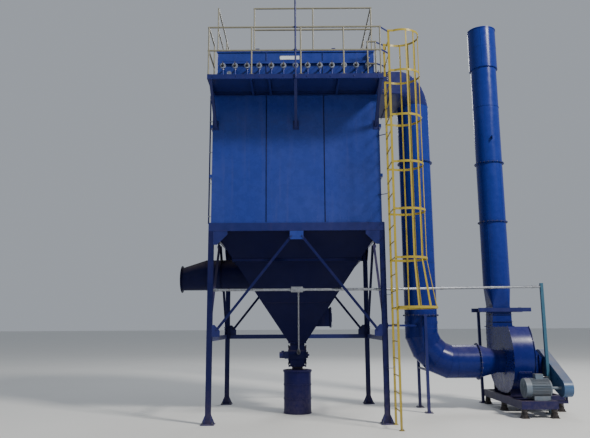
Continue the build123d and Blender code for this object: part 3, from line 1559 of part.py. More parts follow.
# Frame around the neck, on two rear posts
with BuildPart() as stack_frame:
    frame_front = outlet_front - stack_beam_width
    frame_back = stack_post_y + stack_post_size / 2
    with BuildSketch(Plane.XY.offset(stack_beam_bottom)):
        with Locations(
            ((stack_beam_left + stack_beam_right) / 2, outlet_front - stack_beam_width / 2),
            ((stack_beam_left + stack_beam_right) / 2, fan_rear + stack_beam_width / 2),
        ):
            Rectangle(stack_beam_right - stack_beam_left, stack_beam_width)
        with Locations([(x, (frame_front + frame_back) / 2) for x in stack_post_x]):
            Rectangle(stack_post_size, frame_back - frame_front)
    extrude(amount=stack_beam_height)
    with BuildSketch(Plane.XY.offset(duct_foot_thickness)):
        with Locations([(x, stack_post_y) for x in stack_post_x]):
            Rectangle(stack_post_size, stack_post_size)
    extrude(amount=stack_beam_bottom - duct_foot_thickness)
    with BuildSketch(Plane.XY):
        with Locations([(x, stack_post_y) for x in stack_post_x]):
            Rectangle(duct_foot_size, duct_foot_size)
            with GridLocations(duct_foot_pitch, duct_foot_pitch, 2, 2):
                Circle(duct_foot_hole / 2, mode=Mode.SUBTRACT)
    extrude(amount=duct_foot_thickness)
stack_frame.part.label = "stack_frame"
export_step(stack_frame.part, "parts/stack_frame.step")

# Post that carries the outer end of the conduit
with BuildPart() as conduit_post:
    with BuildSketch(Plane.XY):
        with Locations((conduit_post_x, conduit_post_y)):
            Rectangle(duct_foot_size, duct_foot_size)
            with GridLocations(duct_foot_pitch, duct_foot_pitch, 2, 2):
                Circle(duct_foot_hole / 2, mode=Mode.SUBTRACT)
    extrude(amount=duct_foot_thickness)
    with BuildSketch(Plane.XY.offset(duct_foot_thickness)):
        with Locations((conduit_post_x, conduit_post_y)):
            Rectangle(conduit_post_size, conduit_post_size)
    extrude(amount=conduit_post_top - duct_foot_thickness)
conduit_post.part.label = "conduit_post"
export_step(conduit_post.part, "parts/conduit_post.step")

# Conduit across the front, out to its post and down to the rotary valve
with BuildPart() as conduit:
    conduit_end_x = conduit_post_x - conduit_post_size / 2
    with BuildLine() as conduit_path:
        Polyline(
            (conduit_left, conduit_y, conduit_z),
            (conduit_turn_x, conduit_y, conduit_z),
            (conduit_end_x, conduit_post_y, conduit_end_z),
        )
    with BuildSketch(Plane.YZ.offset(conduit_left)):
        with Locations((conduit_y, conduit_z)):
            Circle(conduit_radius)
    sweep(path=conduit_path.line, transition=Transition.RIGHT)
    with BuildLine() as drop_path:
        Line(drop_start, drop_end)
    with BuildSketch(Plane(origin=drop_start, z_dir=drop_path.line % 0)):
        Circle(drop_radius)
    sweep(path=drop_path.line)
    with BuildSketch(Plane.XZ.offset(-conduit_y)):
        with Locations((0, conduit_z)):
            Rectangle(conduit_box_width, conduit_box_height)
    extrude(amount=conduit_box_depth / 2, both=True)
    add(rotary_valve.part, mode=Mode.SUBTRACT)
    add(conduit_post.part, mode=Mode.SUBTRACT)
conduit.part.label = "conduit"
export_step(conduit.part, "parts/conduit.step")

# Small air pipe up the left wall
with BuildPart() as air_pipe:
    with BuildSketch(Plane.XY.offset(beam_top)):
        with Locations((air_pipe_x, air_pipe_y)):
            Circle(air_pipe_radius)
    extrude(amount=housing_top - beam_top)
air_pipe.part.label = "air_pipe"
export_step(air_pipe.part, "parts/air_pipe.step")
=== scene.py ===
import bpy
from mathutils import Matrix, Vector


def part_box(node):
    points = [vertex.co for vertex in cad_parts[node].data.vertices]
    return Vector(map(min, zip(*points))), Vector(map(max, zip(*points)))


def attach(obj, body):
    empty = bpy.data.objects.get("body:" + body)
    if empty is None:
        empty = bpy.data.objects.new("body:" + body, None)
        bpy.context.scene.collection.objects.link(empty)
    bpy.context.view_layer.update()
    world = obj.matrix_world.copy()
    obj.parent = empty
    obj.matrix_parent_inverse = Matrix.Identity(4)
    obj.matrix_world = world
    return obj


bl_info = {
    "name": "Bag filter plant",
    "version": (1, 0, 0),
    "blender": (4, 5, 0),
    "location": "3D View > Sidebar > Bag Filter",
    "description": "Fittings, finishes and studio for a bag filter with its fan and stack",
    "category": "Object",
}

import math

import bmesh
import bpy
from mathutils import Matrix, Vector

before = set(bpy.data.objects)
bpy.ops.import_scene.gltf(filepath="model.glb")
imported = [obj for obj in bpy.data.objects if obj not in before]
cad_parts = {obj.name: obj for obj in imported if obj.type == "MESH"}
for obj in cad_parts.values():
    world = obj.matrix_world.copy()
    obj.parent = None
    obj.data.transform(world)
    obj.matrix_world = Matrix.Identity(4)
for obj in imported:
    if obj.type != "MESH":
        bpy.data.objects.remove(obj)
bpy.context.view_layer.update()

UP = Vector((0, 0, 1))
DOWN = Vector((0, 0, -1))
LEFT = Vector((-1, 0, 0))
RIGHT = Vector((1, 0, 0))
FRONT = Vector((0, -1, 0))
BACK = Vector((0, 1, 0))
SIDES = (-1, 1)
CORNERS = ((-1, -1), (1, -1), (-1, 1), (1, 1))

# Widths of the threads that hold the plant together, in metres
ANCHOR_THREAD = 0.02
FRAME_THREAD = 0.016
DUCT_THREAD = 0.012
PLATE_THREAD = 0.01
SMALL_THREAD = 0.008
SCREW_THREAD = 0.005

# Place of the camera, fitted to the photograph's view
CAMERA_PLACE = (0.007, -13.331, 1.762)
CAMERA_LENS = 37.53
CAMERA_YAW = 0.173
CAMERA_PITCH = 9.961
CAMERA_ROLL = -0.324

SHARP_ANGLE = math.radians(32)
WELD_DISTANCE = 0.00004

# Sizes of a bolt, as multiples of its thread
WASHER_RADIUS = 1.05
WASHER_HEIGHT = 0.16
HEAD_RADIUS = 0.9
HEAD_HEIGHT = 0.62
CHAMFER_RADIUS = 0.78
CHAMFER_TOP_RADIUS = 0.62
CHAMFER_HEIGHT = 0.08
STUD_RADIUS = 0.45

# Ripples of a weld bead, and the raised lozenges of tread plate
RIPPLE_PITCH = 0.018
RIPPLE_SWELL = 1.16
LOZENGE_HEIGHT = 0.0025
LOZENGE_TOP_SHARE = 0.55

# Name, description and default of each paint that a user may change
PAINTS = {
    "frame_colour": ("Housing paint", "Paint of the filter housing and the plenum", (0.018, 0.036, 0.23)),
    # The beam and deck paint is darker than the housing's blue, partly as painted shade of the frame
    "beam_colour": ("Beam and deck paint", "Paint of the ring beam, girts and deck", (0.011, 0.016, 0.11)),
    # The hopper's paint is darker than the housing's same blue: painted shade of the hopper and its inlet
    # under the housing
    "shaded_colour": ("Hopper paint with painted shade", "Darker paint of the hopper and its inlet", (0.0035, 0.0045, 0.04)),
    # The ducts' colour near the ground is darker: painted shade, blended in by height
    "low_colour": ("Painted shade of the ducts near the ground", "Deeper paint of the ducts near the ground", (0.004, 0.009, 0.12)),
    "duct_colour": ("Duct and stack paint", "Paint of the riser and the stack high up", (0.008, 0.024, 0.2)),
    "safety_colour": ("Ladder paint", "Safety yellow of the ladder and its cage", (0.34, 0.26, 0.03)),
    "rail_colour": ("Rail paint", "Faded olive of the handrails", (0.2, 0.19, 0.14)),
    "guard_colour": ("Belt guard paint", "Blue of the belt guard", (0.035, 0.1, 0.22)),
    "post_colour": ("Conduit post paint", "Green of the post that carries the conduit", (0.03, 0.105, 0.17)),
    "dust_colour": ("Settled dust", "Earth dust on ledges and near the ground", (0.33, 0.25, 0.19)),
    "floor_colour": ("Floor", "Colour of the studio floor", (0.72, 0.72, 0.7)),
}


class BagFilterSettings(bpy.types.PropertyGroup):
    edge_radius: bpy.props.FloatProperty(
        name="Edge radius",
        description="Rounding on the edges of plates and sections",
        default=0.002,
        min=0.0,
        unit="LENGTH",
    )
    bead_width: bpy.props.FloatProperty(
        name="Weld bead width",
        description="Width of the weld beads on shells and ducts",
        default=0.009,
        min=0.002,
        unit="LENGTH",
    )
    flange_bolts: bpy.props.IntProperty(
        name="Flange bolts",
        description="Number of bolts round each joint of the duct",
        default=20,
        min=6,
    )
    for key, (label, use, colour) in PAINTS.items():
        __annotations__[key] = bpy.props.FloatVectorProperty(
            name=label, description=use, subtype="COLOR", default=colour, min=0.0, max=1.0
        )
    del key, label, use, colour


def settings():
    return bpy.context.scene.bag_filter


# Shader node helpers

COLOUR = "NodeSocketColor"
NUMBER = "NodeSocketFloat"


def opaque(colour):
    return tuple(colour) + (1.0,)


class NodeTree:
    """A shader tree, with a short way to add each kind of node that the finishes use"""

    def __init__(self, tree):
        self.tree = tree
        self.place = self.add("TexCoord").outputs["Object"]

    def put(self, value, socket):
        """Links an output to a socket, or sets the socket to a plain value"""
        if isinstance(value, bpy.types.NodeSocket):
            self.tree.links.new(value, socket)
        else:
            socket.default_value = value

    def add(self, kind, inputs=None, **values):
        made = self.tree.nodes.new("ShaderNode" + kind)
        for key, value in values.items():
            setattr(made, key, value)
        for label, value in (inputs or {}).items():
            self.put(value, made.inputs[label])
        return made

    def noise(self, scale, detail, roughness, vector=None):
        fields = {"Vector": vector or self.place, "Scale": scale, "Detail": detail, "Roughness": roughness}
        return self.add("TexNoise", fields).outputs["Fac"]

    def spread(self, value, low, high, to_low=0.0, to_high=1.0):
        fields = {"Value": value, "From Min": low, "From Max": high, "To Min": to_low, "To Max": to_high}
        return self.add("MapRange", fields).outputs["Result"]

    def maths(self, operation, first, *others):
        """Takes up each further value by the same operation"""
        for other in others:
            made = self.add("Math", operation=operation)
            self.put(first, made.inputs[0])
            self.put(other, made.inputs[1])
            first = made.outputs[0]
        return first

    def blend(self, factor, first, second, mode="MIX"):
        made = self.add("Mix", data_type="RGBA", blend_type=mode)
        self.put(factor, made.inputs["Factor"])
        for value, socket in zip((first, second), [s for s in made.inputs if s.type == "RGBA"]):
            self.put(value, socket)
        return [s for s in made.outputs if s.type == "RGBA"][0]

    def split(self, vector):
        return self.add("SeparateXYZ", {"Vector": vector}).outputs["Z"]

    def bump(self, height, strength, distance, below=None):
        made = self.add("Bump", {"Strength": strength, "Distance": distance, "Height": height})
        if below is not None:
            self.put(below, made.inputs["Normal"])
        return made.outputs["Normal"]


def open_group(name, inputs, outputs):
    tree = bpy.data.node_groups.new(name, "ShaderNodeTree")
    for label, value in inputs.items():
        kind = COLOUR if isinstance(value, tuple) else NUMBER
        tree.interface.new_socket(name=label, in_out="INPUT", socket_type=kind).default_value = value
    for label in outputs:
        kind = COLOUR if label == "Color" else NUMBER
        tree.interface.new_socket(name=label, in_out="OUTPUT", socket_type=kind)
    given = tree.nodes.new("NodeGroupInput").outputs
    return NodeTree(tree), given, tree.nodes.new("NodeGroupOutput").inputs


def weathering_group():
    """Paint that has faded in patches, run in streaks, gathered dust and lifted into small rust spots"""
    inputs = {
        "Paint": (0.1, 0.1, 0.3, 1),
        "Faded": (0.15, 0.2, 0.4, 1),
        "Dust": (0.3, 0.25, 0.2, 1),
        "Rust": (0.1, 0.03, 0.012, 1),
        "Patch": 0.5,
        "Streak": 0.4,
        "Ledge dust": 0.6,
        "Ground dust": 0.5,
        "Spots": 0.5,
        "Gloss": 0.3,
    }
    tree, given, made = open_group("Weathered paint", inputs, ("Color", "Roughness", "Peel", "Wave"))
    # Broad patches where sun has bleached the coat
    patch = tree.spread(tree.noise(0.85, 5.0, 0.6), 0.38, 0.68)
    colour = tree.blend(tree.maths("MULTIPLY", patch, given["Patch"]), given["Paint"], given["Faded"])
    # Hand-sized mottling
    mottle = tree.noise(7.0, 4.0, 0.55)
    shade = tree.spread(mottle, 0.3, 0.75, 0.9, 1.07)
    tint = tree.add("CombineColor", {"Red": shade, "Green": shade, "Blue": shade})
    colour = tree.blend(1.0, colour, tint.outputs["Color"], "MULTIPLY")
    # Streaks where rain runs down the walls
    upward = tree.split(tree.add("NewGeometry").outputs["Normal"])
    upright = tree.spread(tree.maths("ABSOLUTE", upward, 0.0), 0.35, 0.05)
    long = tree.add("Mapping", {"Vector": tree.place, "Scale": (7.0, 7.0, 0.35)}).outputs["Vector"]
    runs = tree.spread(tree.noise(1.6, 5.0, 0.62, long), 0.54, 0.78)
    runs = tree.maths("MULTIPLY", runs, upright, given["Streak"])
    colour = tree.blend(runs, colour, tree.blend(0.22, given["Paint"], given["Dust"]))
    # Dust on whatever faces up
    grain = tree.spread(tree.noise(3.2, 6.0, 0.68), 0.32, 0.62, 0.25, 1.0)
    ledge = tree.maths("MULTIPLY", tree.spread(upward, 0.35, 0.95), grain, given["Ledge dust"])
    # Splashes of earth near the ground
    low = tree.spread(tree.split(tree.place), 0.75, 0.02)
    splash = tree.spread(tree.noise(16.0, 5.0, 0.7), 0.36, 0.66, 0.15, 1.0)
    splash = tree.maths("MULTIPLY", low, splash, given["Ground dust"])
    settled = tree.maths("MAXIMUM", ledge, splash)
    colour = tree.blend(settled, colour, given["Dust"])
    # Small rust spots
    fleck = tree.spread(tree.noise(34.0, 7.0, 0.62), 0.7, 0.735)
    where = tree.spread(tree.noise(1.7, 2.0, 0.5), 0.48, 0.62)
    fleck = tree.maths("MULTIPLY", fleck, where, given["Spots"])
    tree.put(tree.blend(fleck, colour, given["Rust"]), made["Color"])
    # Dust, streaks and spots dull the coat
    dull = [tree.maths("MULTIPLY", mask, part) for mask, part in ((settled, 0.55), (fleck, 0.5), (runs, 0.3))]
    smear = tree.spread(mottle, 0.3, 0.75, -0.05, 0.09)
    rough = tree.maths("ADD", given["Gloss"], tree.maths("ADD", tree.maths("MAXIMUM", *dull), smear))
    tree.put(rough, made["Roughness"])
    peel = tree.maths("ADD", tree.noise(210.0, 2.0, 0.5), tree.maths("MULTIPLY", fleck, -1.5))
    tree.put(peel, made["Peel"])
    tree.put(tree.noise(2.1, 2.0, 0.4), made["Wave"])


def metal_grain_group():
    """Crystals of zinc or brushed grain, as a mask, a roughness and a height"""
    inputs = {
        "Light": (0.6, 0.62, 0.64, 1),
        "Dark": (0.35, 0.37, 0.4, 1),
        "Scale": 60.0,
        "Grime": (0.12, 0.09, 0.07, 1),
        "Grime amount": 0.4,
    }
    tree, given, made = open_group("Metal grain", inputs, ("Color", "Roughness", "Height"))
    crystals = tree.add("TexVoronoi", {"Vector": tree.place, "Scale": given["Scale"]}).outputs
    tone = tree.add("SeparateColor", {"Color": crystals["Color"]}).outputs
    colour = tree.blend(tone["Red"], given["Light"], given["Dark"])
    dirt = tree.spread(tree.noise(11.0, 6.0, 0.65), 0.46, 0.7)
    dirt = tree.maths("MULTIPLY", dirt, given["Grime amount"])
    tree.put(tree.blend(dirt, colour, given["Grime"]), made["Color"])
    rough = tree.spread(tone["Green"], 0.0, 1.0, 0.32, 0.52)
    tree.put(tree.maths("ADD", rough, tree.maths("MULTIPLY", dirt, 0.3)), made["Roughness"])
    tree.put(crystals["Distance"], made["Height"])


def new_material(name):
    material = bpy.data.materials.new(name)
    material.use_nodes = True
    tree = NodeTree(material.node_tree)
    return material, tree, material.node_tree.nodes["Principled BSDF"].inputs


# Heights between which the duct's paint goes from its darker colour near the ground, which is painted shade,
# to its full colour higher up
SHADE_HEIGHTS = (1.4, 5.2)

# How far a coat has worn and the light that it takes on, unless a finish says otherwise
USUAL_WEAR = {
    "Patch": 0.5,
    "Streak": 0.2,
    "Ledge dust": 0.45,
    "Ground dust": 0.35,
    "Spots": 0.4,
    "Gloss": 0.3,
}
FADED_GREY = 0.55


def painted(name, colour, wave=0.0, specular=0.3, fade=0.03, below=None, **amounts):
    """A painted steel finish; where a second colour is given, it darkens towards the ground as painted shade
    """
    material, tree, shader = new_material(name)
    paint = opaque(colour)
    # Painted shade: the paint darkens from its own colour towards the given colour near the ground
    if below is not None:
        rise = tree.spread(tree.split(tree.place), *SHADE_HEIGHTS)
        paint = tree.blend(rise, opaque(below), paint)
    fields = {
        "Paint": paint,
        "Faded": opaque(c + fade * (FADED_GREY - c) for c in colour),
        "Dust": opaque(settings().dust_colour),
        **USUAL_WEAR,
        **amounts,
    }
    coat = tree.add("Group", node_tree=bpy.data.node_groups["Weathered paint"])
    for label, value in fields.items():
        tree.put(value, coat.inputs[label])
    normal = tree.bump(coat.outputs["Peel"], 0.12, 0.0008)
    if wave:
        normal = tree.bump(coat.outputs["Wave"], 0.35, wave, normal)
    tree.put(coat.outputs["Color"], shader["Base Color"])
    tree.put(coat.outputs["Roughness"], shader["Roughness"])
    tree.put(normal, shader["Normal"])
    tree.put(specular, shader["Specular IOR Level"])
    return material


def metal(name, light, dark, scale, grime):
    """A bare or zinc-coated metal"""
    material, tree, shader = new_material(name)
    grain = tree.add("Group", node_tree=bpy.data.node_groups["Metal grain"])
    fields = {"Light": opaque(light), "Dark": opaque(dark), "Scale": scale, "Grime amount": grime}
    for label, value in fields.items():
        tree.put(value, grain.inputs[label])
    tree.put(grain.outputs["Color"], shader["Base Color"])
    tree.put(grain.outputs["Roughness"], shader["Roughness"])
    tree.put(0.9, shader["Metallic"])
    tree.put(tree.bump(grain.outputs["Height"], 0.15, 0.0006), shader["Normal"])
    return material


def rubber(name, colour):
    """Dull black plastic or rubber with a fine moulded grain"""
    material, tree, shader = new_material(name)
    grain = tree.noise(320.0, 2.0, 0.5)
    dusty = tree.spread(tree.noise(18.0, 5.0, 0.6), 0.45, 0.75, 0.0, 0.4)
    tree.put(tree.blend(dusty, opaque(colour), opaque(settings().dust_colour)), shader["Base Color"])
    tree.put(tree.spread(grain, 0.3, 0.7, 0.5, 0.7), shader["Roughness"])
    tree.put(tree.bump(grain, 0.2, 0.0005), shader["Normal"])
    return material


def make_materials():
    chosen = settings()
    dull = {"Gloss": 0.36, "Streak": 0.1, "Ledge dust": 0.3, "Ground dust": 0.15, "fade": 0.015}
    # The ducts darken towards the ground as painted shade
    dull_with_low_shade = {**dull, "Gloss": 0.25, "Patch": 0.3, "Ledge dust": 0.15, "below": chosen.low_colour}
    return {
        # The frame's darker blue is partly painted shade of the tower
        "frame": painted("Frame paint", chosen.beam_colour, specular=0.25, **dull),
        "housing": painted("Housing paint", chosen.frame_colour, wave=0.004, Patch=0.6, Gloss=0.26),
        # Hopper, inlet, door and valve take the darker paint, which is painted shade under the housing
        "hopper": painted("Hopper paint with painted shade", chosen.shaded_colour, wave=0.003, specular=0.08, **dull),
        # Columns, braces and the fan's skid take a near-black navy: painted shade, as they stand in shadow
        "column": painted("Column paint with painted shade", (0.006, 0.008, 0.065), specular=0.15, **dull),
        "duct": painted("Duct paint", chosen.duct_colour, wave=0.0015, specular=0.2, **dull_with_low_shade),
        "safety": painted("Safety paint", chosen.safety_colour, fade=0.06, Spots=0.8),
        "rail": painted("Rail paint", chosen.rail_colour, fade=0.05, Spots=0.8),
        "guard": painted("Guard paint", chosen.guard_colour),
        "motor": painted("Motor paint", (0.11, 0.15, 0.2), Gloss=0.42),
        "post": painted("Post paint", chosen.post_colour, Gloss=0.38),
        "drum": painted("Drum paint", (0.006, 0.006, 0.075), specular=0.15, **dull),
        "plate": painted("Plate enamel", (0.62, 0.66, 0.7), Streak=0.15),
        "valve": painted("Cast valve finish", (0.22, 0.26, 0.36), Gloss=0.4),
        "isolator": painted("Isolator enamel", (0.012, 0.012, 0.018), **dull),
        "zinc": metal("Zinc coat", (0.36, 0.38, 0.42), (0.22, 0.24, 0.28), 55.0, 0.35),
        "bolt": metal("Bolt steel", (0.22, 0.23, 0.26), (0.1, 0.1, 0.12), 160.0, 0.5),
        "spring": metal("Spring steel", (0.16, 0.16, 0.18), (0.08, 0.08, 0.09), 160.0, 0.4),
        "rubber": rubber("Black rubber", (0.02, 0.02, 0.022)),
    }


MATERIALS = {}

# The slot that each finish stands in, unless a piece says otherwise
SLOTS = {
    "frame": "frame_paint",
    "housing": "frame_paint",
    "hopper": "frame_paint",
    "column": "duct_paint",
    "duct": "duct_paint",
    "drum": "duct_paint",
    "safety": "yellow_paint",
    "rail": "yellow_paint",
    "guard": "guard_paint",
    "motor": "motor_paint",
    "post": "post_paint",
    "valve": "valve_metal",
    "isolator": "isolator_metal",
    "spring": "isolator_metal",
    "rubber": "isolator_metal",
    "zinc": "galvanised",
    "bolt": "galvanised",
}


# Mesh helpers


def turned(direction):
    """The turn that takes the upward axis to a direction"""
    return Vector(direction).normalized().to_track_quat("Z", "Y").to_matrix().to_4x4()


def round_z(degrees):
    """The level direction at an angle from the right"""
    turn = math.radians(degrees)
    return Vector((math.cos(turn), math.sin(turn), 0))


def round_x(angle, first=RIGHT):
    """The direction at an angle from another, in the plane that faces along the third axis"""
    return first * math.cos(angle) + UP * math.sin(angle)


def corners(x, y):
    """The four places at a distance to both sides and to the front and back"""
    return [(sx * x, sy * y) for sx, sy in CORNERS]


def spaced(low, high, pitch):
    """Even places between two ends, no further apart than a pitch"""
    count = max(1, math.ceil((high - low) / pitch))
    return [low + (high - low) * k / count for k in range(count + 1)]


BOLT_MESHES = {}


def bolt_mesh(thread, stud, washer):
    """A hexagon head or nut that stands on the origin, made once for each kind"""
    key = (thread, stud, washer)
    if key not in BOLT_MESHES:
        made = Shape()
        rise = Vector((0, 0, 0))
        if washer:
            made.rod(rise, UP, WASHER_RADIUS * thread, WASHER_HEIGHT * thread, 12)
            rise = rise + UP * WASHER_HEIGHT * thread
        made.rod(rise, UP, HEAD_RADIUS * thread, HEAD_HEIGHT * thread, 6)
        rise = rise + UP * HEAD_HEIGHT * thread
        top = CHAMFER_TOP_RADIUS * thread
        made.rod(rise, UP, CHAMFER_RADIUS * thread, CHAMFER_HEIGHT * thread, 6, top=top)
        if stud:
            made.rod(rise, UP, STUD_RADIUS * thread, stud, 8)
        BOLT_MESHES[key] = made.to_mesh("Bolt")
    return BOLT_MESHES[key]


class Shape:
    """A mesh in the making, with a short way to add each kind of part"""

    def __init__(self):
        self.bm = bmesh.new()

    def to_mesh(self, name):
        mesh = bpy.data.meshes.new(name)
        self.bm.to_mesh(mesh)
        self.bm.free()
        return mesh

    def join(self, mesh):
        """Takes in a small mesh, which is much quicker than working on the larger one"""
        self.bm.from_mesh(mesh)
        bpy.data.meshes.remove(mesh)

    def circle(self, place, radius, sides, filled=False):
        made = bmesh.ops.create_circle(self.bm, cap_ends=filled, segments=sides, radius=radius, matrix=place)
        return made["verts"]

    def spin(self, verts, centre, direction, steps):
        edges = list({e for v in verts for e in v.link_edges})
        bmesh.ops.spin(
            self.bm,
            geom=verts + edges,
            cent=Vector(centre),
            axis=Vector(direction).normalized(),
            angle=2 * math.pi,
            steps=steps,
            use_merge=True,
        )

    def rod(self, foot, direction, radius, length, segments=24, top=None, turn=0.0):
        """A cylinder or cone that stands on a point and grows along a direction"""
        place = Matrix.Translation(foot) @ turned(direction)
        place = place @ Matrix.Rotation(turn, 4, "Z") @ Matrix.Translation((0, 0, length / 2))
        bmesh.ops.create_cone(
            self.bm,
            cap_ends=True,
            segments=segments,
            radius1=radius,
            radius2=radius if top is None else top,
            depth=length,
            matrix=place,
        )

    def block(self, low, high):
        """A block between two corners"""
        low, high = Vector(low), Vector(high)
        place = Matrix.Translation((low + high) / 2) @ Matrix.Diagonal((*(high - low), 1))
        return bmesh.ops.create_cube(self.bm, size=1.0, matrix=place)["verts"]

    def bar(self, start, end, width, height, side=UP):
        """A bar of rectangular section from one point to another, its height towards a side"""
        start, end = Vector(start), Vector(end)
        along = (end - start).normalized()
        across = along.cross(side).normalized()
        turn = Matrix((across, along, across.cross(along))).transposed().to_4x4()
        size = Matrix.Diagonal((width, (end - start).length, height, 1))
        place = Matrix.Translation((start + end) / 2) @ turn @ size
        bmesh.ops.create_cube(self.bm, size=1.0, matrix=place)

    def loft(self, loops):
        """Walls from each closed loop of points to the next, and from the last one to the first"""
        rows = [[self.bm.verts.new(p) for p in loop] for loop in loops]
        for k in range(len(rows)):
            for j in range(len(rows[k])):
                self.bm.faces.new((rows[k - 1][j - 1], rows[k - 1][j], rows[k][j], rows[k][j - 1]))

    def lozenge(self, place, along, across):
        """A raised lozenge of tread plate, its top narrower than its foot"""
        points = (place - along, place - across, place + along, place + across)
        low = [self.bm.verts.new(p) for p in points]
        rise = place + UP * LOZENGE_HEIGHT
        high = [self.bm.verts.new(rise + (p - place) * LOZENGE_TOP_SHARE) for p in points]
        for k in range(4):
            self.bm.faces.new((low[k - 1], low[k], high[k], high[k - 1]))
        self.bm.faces.new(high)

    def band(self, centre, direction, inner, outer, length, segments=48):
        """A ring of rectangular section round an axis, centred on a point"""
        small = Shape()
        place = Matrix.Translation(centre) @ turned(direction)
        half = length / 2
        section = ((inner, -half), (outer, -half), (outer, half), (inner, half))
        verts = [small.bm.verts.new(place @ Vector((r, 0, z))) for r, z in section]
        for k in range(4):
            small.bm.edges.new((verts[k - 1], verts[k]))
        small.spin(verts, centre, direction, segments)
        self.join(small.to_mesh("Band"))

    def ring(self, centre, direction, radius, bar, segments=48, sides=8):
        """A round bar bent into a ring"""
        small = Shape()
        place = Matrix.Translation(centre) @ turned(direction)
        place = place @ Matrix.Translation((radius, 0, 0)) @ Matrix.Rotation(math.pi / 2, 4, "X")
        small.spin(small.circle(place, bar, sides), centre, direction, segments)
        self.join(small.to_mesh("Ring"))

    def dome(self, centre, direction, radius, height, segments=16, rings=4):
        """A flattened half ball on a flat seat"""
        small = Shape()
        place = Matrix.Translation(centre) @ turned(direction) @ Matrix.Diagonal((1, 1, height / radius, 1))
        ball = small.bm
        bmesh.ops.create_uvsphere(
            ball, u_segments=segments, v_segments=2 * rings, radius=radius, matrix=place
        )
        bmesh.ops.bisect_plane(
            ball,
            geom=ball.verts[:] + ball.edges[:] + ball.faces[:],
            plane_co=Vector(centre),
            plane_no=Vector(direction),
            clear_inner=True,
        )
        self.join(small.to_mesh("Dome"))

    def bolt(self, seat, direction, thread, stud=0.0, washer=True):
        """A hexagon head or nut on a washer, with a stud end where one stands out, turned as it was left"""
        seat = Vector(seat)
        turn = abs(seat.x + seat.y * 3 + seat.z * 7) * 10
        mesh = bolt_mesh(thread, stud, washer).copy()
        mesh.transform(Matrix.Translation(seat) @ turned(direction) @ Matrix.Rotation(turn, 4, "Z"))
        self.join(mesh)

    def bolt_ring(self, centre, direction, radius, count, thread):
        """Bolts on a circle, heads towards a direction"""
        place = Matrix.Translation(centre) @ turned(direction)
        for k in range(count):
            angle = 2 * math.pi * k / count
            seat = place @ Vector((radius * math.cos(angle), radius * math.sin(angle), 0))
            self.bolt(seat, direction, thread)

    def flange_bolts(self, centre, direction, radius, count, thickness):
        """Bolt heads on one face of a joint and nuts on the other"""
        for side in (direction, -direction):
            self.bolt_ring(Vector(centre) + side * thickness / 2, side, radius, count, DUCT_THREAD)

    def pipe(self, points, radius, sides=10):
        """A round rod along straight stretches, mitred where it turns"""
        points = [Vector(p) for p in points]
        ways = [(b - a).normalized() for a, b in zip(points, points[1:])]
        ring = self.circle(Matrix.Translation(points[0]) @ turned(ways[0]), radius, sides, filled=True)
        face = [f for f in ring[0].link_faces if all(v in ring for v in f.verts)][0]
        for point, before, after in zip(points[1:], ways, ways[1:] + ways[-1:]):
            face = bmesh.ops.extrude_discrete_faces(self.bm, faces=[face])["faces"][0]
            normal = (before + after).normalized()
            for vert in face.verts:
                reach = (point - vert.co).dot(normal) / before.dot(normal)
                vert.co = vert.co + before * reach

    def bead(self, *points, width=None, sides=6):
        """A rippled weld bead laid along straight stretches"""
        width = width or settings().bead_width
        for start, end in zip(points, points[1:]):
            start, end = Vector(start), Vector(end)
            count = max(2, round((end - start).length / RIPPLE_PITCH))
            along = (end - start) / count
            small = Shape()
            ring = small.circle(Matrix.Translation(start) @ turned(end - start), width / 2, sides)
            edges = list({e for v in ring for e in v.link_edges})
            for k in range(count):
                made = bmesh.ops.extrude_edge_only(small.bm, edges=edges)["geom"]
                edges = [g for g in made if isinstance(g, bmesh.types.BMEdge)]
                middle = start + along * (k + 1)
                swell = RIPPLE_SWELL if k % 2 == 0 else 1 / RIPPLE_SWELL
                for vert in made:
                    if isinstance(vert, bmesh.types.BMVert):
                        vert.co = middle + (vert.co + along - middle) * swell
            self.join(small.to_mesh("Bead"))

    def bead_ring(self, centre, direction, radius, width=None, segments=64):
        """A weld bead round an axis"""
        self.ring(centre, direction, radius, (width or settings().bead_width) / 2, segments, 6)


UNFINISHED = []


class Piece(Shape):
    """A named piece of the plant, which waits until its operator finishes it"""

    def __init__(self, name, finish, bevel=0.0, slot=None, smooth=True):
        super().__init__()
        self.name = name
        self.finish = finish
        self.bevel = bevel
        self.slot = slot or SLOTS[finish]
        self.smooth = smooth
        UNFINISHED.append(self)


def finish_pieces():
    """Makes an object of every piece in the making, at the origin and riding on the plant"""
    for made in UNFINISHED:
        bmesh.ops.remove_doubles(made.bm, verts=made.bm.verts, dist=WELD_DISTANCE)
        bmesh.ops.recalc_face_normals(made.bm, faces=made.bm.faces)
        mesh = made.to_mesh(made.name)
        if made.smooth:
            mesh.shade_smooth()
            mesh.set_sharp_from_angle(angle=SHARP_ANGLE)
        mesh.materials.append(MATERIALS[made.finish])
        piece = bpy.data.objects.new(made.name, mesh)
        bpy.context.scene.collection.objects.link(piece)
        if made.bevel:
            edge = piece.modifiers.new("Edges", "BEVEL")
            edge.width = made.bevel
            edge.segments = 2
            edge.limit_method = "ANGLE"
            edge.harden_normals = True
        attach(piece, "root")
    UNFINISHED.clear()
    return {"FINISHED"}


# Finishes of the plant's own nodes, where they aren't the frame's paint

